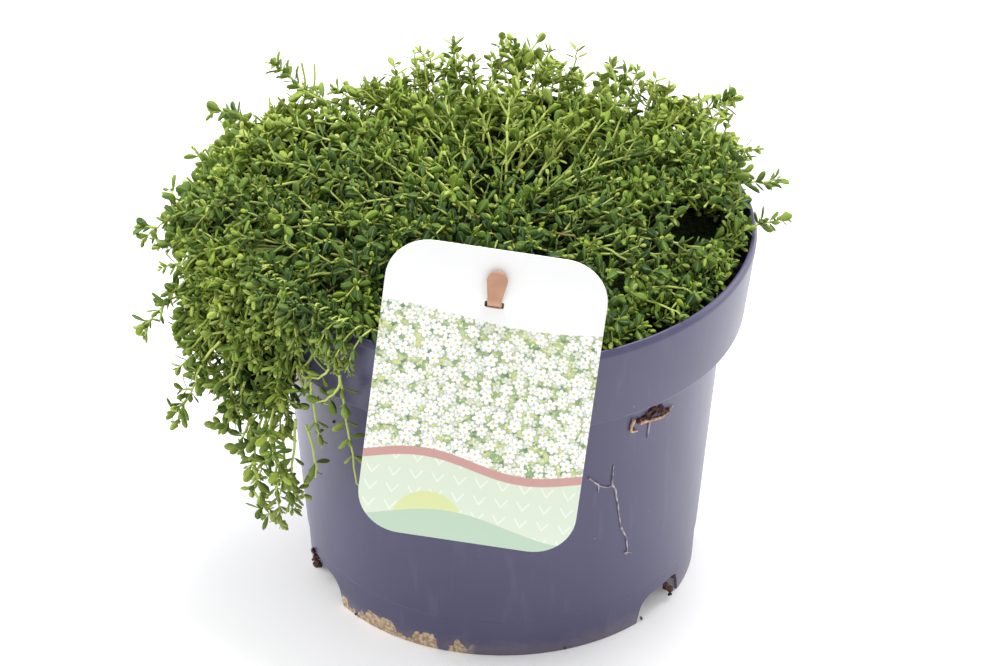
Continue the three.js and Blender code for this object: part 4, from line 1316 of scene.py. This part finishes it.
def blossoms(paint, flat, size, shift, share):
    """Five-petalled flowers scattered in a share of the cells: their petals, shadow and eye."""
    spread = {"Vector": flat, "Scale": (1 / size,) * 3, "Location": (shift, shift * 1.7, 0)}
    cells = paint.add("ShaderNodeMapping", {}, spread)
    sockets = {"Vector": cells, "Scale": 1.0, "Randomness": 0.8}
    found = paint.add("ShaderNodeTexVoronoi", {"voronoi_dimensions": "2D"}, sockets)
    chosen, turned, _ = paint.split(found.also("Color"))
    subtract = {"operation": "SUBTRACT"}
    away = paint.add("ShaderNodeVectorMath", subtract, {0: cells, 1: found.also("Position")})
    dx, dy, _ = paint.split(away)
    turn = dy.do("ARCTAN2", dx) + turned * 6
    petal = (turn * 2.5).do("COSINE").do("ABSOLUTE") ** 0.7 * 0.26 + 0.15
    shown = chosen.rise(share + 0.01, share)
    past_petal = found - petal
    petals = past_petal.rise(0.02, -0.02) * shown
    return petals, past_petal.rise(0.16, 0.0) * shown, found.rise(0.11, 0.06) * shown


def above(value):
    """1 where a value is over 0, with the crisp edge of a print."""
    return value.rise(-PRINT_EDGE, PRINT_EDGE)


def below(value):
    """1 where a value is under 0, with the crisp edge of a print."""
    return value.rise(PRINT_EDGE, -PRINT_EDGE)


paint = Paint("printed white card")
flat = paint.add("ShaderNodeUVMap", {"uv_map": "print"})
spread = {"Scale": (CARD_WIDTH, CARD_HEIGHT, 1), "Location": (-CARD_WIDTH / 2, -CARD_HEIGHT / 2, 0)}
flat = paint.add("ShaderNodeMapping", {}, {"Vector": flat, **spread})
x, y, _ = paint.split(flat)
flowers = paint.coats(
    (0.24, 0.38, 0.16),
    (paint.speckle(flat, 6, 3).rise(0.35, 0.6), (0.62, 0.66, 0.3)),
    (paint.speckle(flat, 2.4).rise(0.52, 0.66), (0.13, 0.22, 0.13)),
    (paint.speckle(flat, 1.6).rise(0.56, 0.64), (0.8, 0.84, 0.5)),
)
for size, shift, share, white in BEDS:
    petals, shadow, eye = blossoms(paint, flat, size, shift, share)
    shaded = (shadow * 0.4, (0.16, 0.24, 0.12))
    flowers = paint.coats(flowers, shaded, (petals, white), (eye * 0.9, (0.62, 0.6, 0.14)))
beds_edge = y + (x * 0.06 + 0.7).do("SINE") * 2.2
wave_edge = y + (x * 0.085).do("SINE") * WAVE_SWING
hill_edge = y - (x * 0.07 + 2.1).do("SINE") * HILL_SWING
frond_x = (x + 48).do("MODULO", FRONDS_APART[0]) - FRONDS_APART[0] / 2
frond_y = (y + 96).do("MODULO", FRONDS_APART[1]) - FRONDS_APART[1] / 2
off_frond = (frond_x.do("ABSOLUTE") * 1.5 - frond_y).do("ABSOLUTE") - 0.55
frond = below(off_frond) * frond_x.do("ABSOLUTE").rise(2.6, 2.2)
sun_x, sun_y = x - SUN_PLACE[0], y - SUN_PLACE[1]
from_sun = (sun_x * sun_x + sun_y * sun_y).do("SQRT")
dust = paint.speckle(flat, 2.5, 4, 0.7)
printed = paint.coats(
    (0.66, 0.74, 0.6),
    (frond * 0.7, (0.84, 0.88, 0.8)),
    (below(from_sun - SUN_RADIUS), (0.66, 0.72, 0.34)),
    (below(hill_edge - HILL_TOP), (0.46, 0.6, 0.46)),
    (above(wave_edge - WAVE_FOOT), (0.56, 0.3, 0.27)),
    (above(wave_edge - WAVE_TOP), flowers),
    (above(beds_edge - BEDS_TOP), (0.9, 0.91, 0.9)),
    (dust.rise(0.72, 0.8) * 0.3, (0.6, 0.58, 0.52)),
)
card_finish = paint.wear(
    base_color=printed,
    roughness=0.3 + dust * 0.12,
    coat_weight=0.25,
    coat_roughness=0.2,
    normal=paint.relief(paint.speckle(flat, 20, 1), 0.12),
)
put("label_card_printed", card, card_finish, "card_plastic", "label_card")

# Label stake
# A flat strip of warm brown plastic, pointed at its foot and round at its head.
# It stands in the peat inside the rim, passes through the slot and ends in front of the card.
STAKE_NECK = 5.2
STAKE_HEAD = 7.6
STAKE_THICKNESS = 1.0
STAKE_HEAD_TOP = SLOT_ABOVE_CENTRE + 14.5
STAKE_HEAD_FROM = STAKE_HEAD_TOP - STAKE_HEAD / 2
STAKE_WIDENS_FROM = SLOT_ABOVE_CENTRE + 3
STAKE_POINT = 12
STAKE_EDGE = 0.22
into_card = card_frame.inverted()
stake_foot = into_card @ Vector((CARD_CENTRE.x - 3, -74, 80))
stake_bend = into_card @ Vector((CARD_CENTRE.x, -85.5, RIM_HEIGHT + 4))
stake_line = rounded(
    [
        (stake_foot.z, stake_foot.y, 0),
        (stake_bend.z, stake_bend.y, 6),
        (-2.6, SLOT_ABOVE_CENTRE - 2, 1.5),
        (2, SLOT_ABOVE_CENTRE + 1.6, 1.2),
        (2.4, STAKE_HEAD_TOP, 0),
    ],
    steps=6,
)
stake_path = []
for low, high in zip(stake_line, stake_line[1:]):
    pieces = max(1, round((high - low).length))
    stake_path += [low + (high - low) * k / pieces for k in range(pieces)]
down = (stake_line[-2] - stake_line[-1]).normalized()
stake_path += [stake_line[-1] + down * 0.04 * k**2 for k in range(9)]
stake_path.sort(key=lambda p: p.y)


def stake_half(up):
    """Half the strip's width at a height in the card's frame."""
    if up > STAKE_HEAD_FROM:
        return math.sqrt(max((STAKE_HEAD / 2) ** 2 - (up - STAKE_HEAD_FROM) ** 2, 0.01))
    if up > STAKE_WIDENS_FROM:
        share = (up - STAKE_WIDENS_FROM) / (STAKE_HEAD_FROM - STAKE_WIDENS_FROM)
        return (STAKE_NECK + (STAKE_HEAD - STAKE_NECK) * share) / 2
    return STAKE_NECK / 2 * min(1.0, 0.3 + 0.7 * (up - stake_foot.y) / STAKE_POINT)


stake_points, stake_faces = [], []
for k, point in enumerate(stake_path):
    ahead = stake_path[min(k + 1, len(stake_path) - 1)] - stake_path[max(k - 1, 0)]
    thin = Vector((-ahead.y, ahead.x)).normalized()
    half = stake_half(point.y)
    edge = min(STAKE_EDGE, half * 0.5)
    thick = STAKE_THICKNESS / 2
    section = [(half, thick - edge), (half - edge, thick)]
    section += [(-side, out) for side, out in section[::-1]]
    section += [(-side, -out) for side, out in section]
    for side, out in section:
        stake_points.append((side, point.y + thin.y * out, point.x + thin.x * out))
    if k:
        low, high = 8 * (k - 1), 8 * k
        for i in range(8):
            j = (i + 1) % 8
            stake_faces.append((low + i, low + j, high + j, high + i))
stake_faces += [tuple(range(8)), tuple(range(len(stake_points) - 8, len(stake_points)))]
paint = Paint("warm brown plastic")
place = paint.place()
drawn = paint.speckle(place, 6, 3)
fine = paint.speckle(place, 0.6)
stake_finish = paint.wear(
    base_color=paint.coats((0.47, 0.24, 0.15), (drawn.rise(0.3, 0.7), (0.56, 0.31, 0.2))),
    roughness=0.42 + fine * 0.12,
    normal=paint.relief(fine + drawn, 0.08),
)
stake = shape("stake", stake_points, stake_faces)
stake.transform(card_frame)
put("label_stake_fine", solid("stake", stake), stake_finish, "stake_plastic", "label_stake")

# Floor, light and camera
# A white sweep lit from above and both sides, as for a catalogue picture. The camera stands in
# front and looks down on the pot with a long lens.
FLOOR_SIZE = 6
WORLD_STRENGTH = 0.85
LAMP_SIZE = 0.7
LAMP_AIM = Vector((0, 0, 0.1))
LAMPS = {
    "top soft box": ((0.15, 0.25, 1.2), 12),
    "left soft box": ((-1.0, 0.35, 0.5), 9),
    "right soft box": ((1.0, 0.35, 0.5), 4),
}
CAMERA_PLACE = Vector((0, -1.69758, 1.22424))
CAMERA_PITCH = math.radians(33.584)
CAMERA_YAW = math.radians(-0.03524)
CAMERA_ROLL = math.radians(0.20584)
CAMERA_LENS = 193.74
CAMERA_SENSOR = 36
scene = bpy.context.scene

paint = Paint("white sweep")
shade = paint.speckle(paint.place(), 300, 1)
floor_finish = paint.wear(
    base_color=paint.coats((0.9, 0.9, 0.91), (shade, (0.93, 0.93, 0.93))),
    roughness=0.8,
    specular_ior_level=0.1,
    emission_color=(1.0, 1.0, 1.0),
    emission_strength=0.1,
)
half = FLOOR_SIZE / 2
floor_mesh = bpy.data.meshes.new("floor")
corners = [(-half, -half, 0), (half, -half, 0), (half, half, 0), (-half, half, 0)]
floor_mesh.from_pydata(corners, [], [(0, 1, 2, 3)])
floor_mesh.materials.append(floor_finish)
floor = stand("floor", floor_mesh)
floor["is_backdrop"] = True

scene.world = bpy.data.worlds.new("studio")
scene.world.use_nodes = True
sky = scene.world.node_tree.nodes["Background"]
sky.inputs["Color"].default_value = (1, 1, 1, 1)
sky.inputs["Strength"].default_value = WORLD_STRENGTH
for name, (place, power) in LAMPS.items():
    light = bpy.data.lights.new(name, "AREA")
    light.size = LAMP_SIZE
    light.energy = power
    box = stand(name, light)
    box.location = POT_AXIS + Vector(place)
    box.rotation_euler = (LAMP_AIM - Vector(place)).to_track_quat("-Z", "Y").to_euler()

camera = stand("camera", bpy.data.cameras.new("camera"))
camera.data.lens = CAMERA_LENS
camera.data.sensor_width = CAMERA_SENSOR
camera.matrix_world = (
    Matrix.Translation(POT_AXIS + CAMERA_PLACE)
    @ Matrix.Rotation(-CAMERA_YAW, 4, "Z")
    @ Matrix.Rotation(math.pi / 2 - CAMERA_PITCH, 4, "X")
    @ Matrix.Rotation(CAMERA_ROLL, 4, "Z")
)
bpy.context.scene.camera = camera
scene.view_settings.view_transform = "Standard"

low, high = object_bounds()
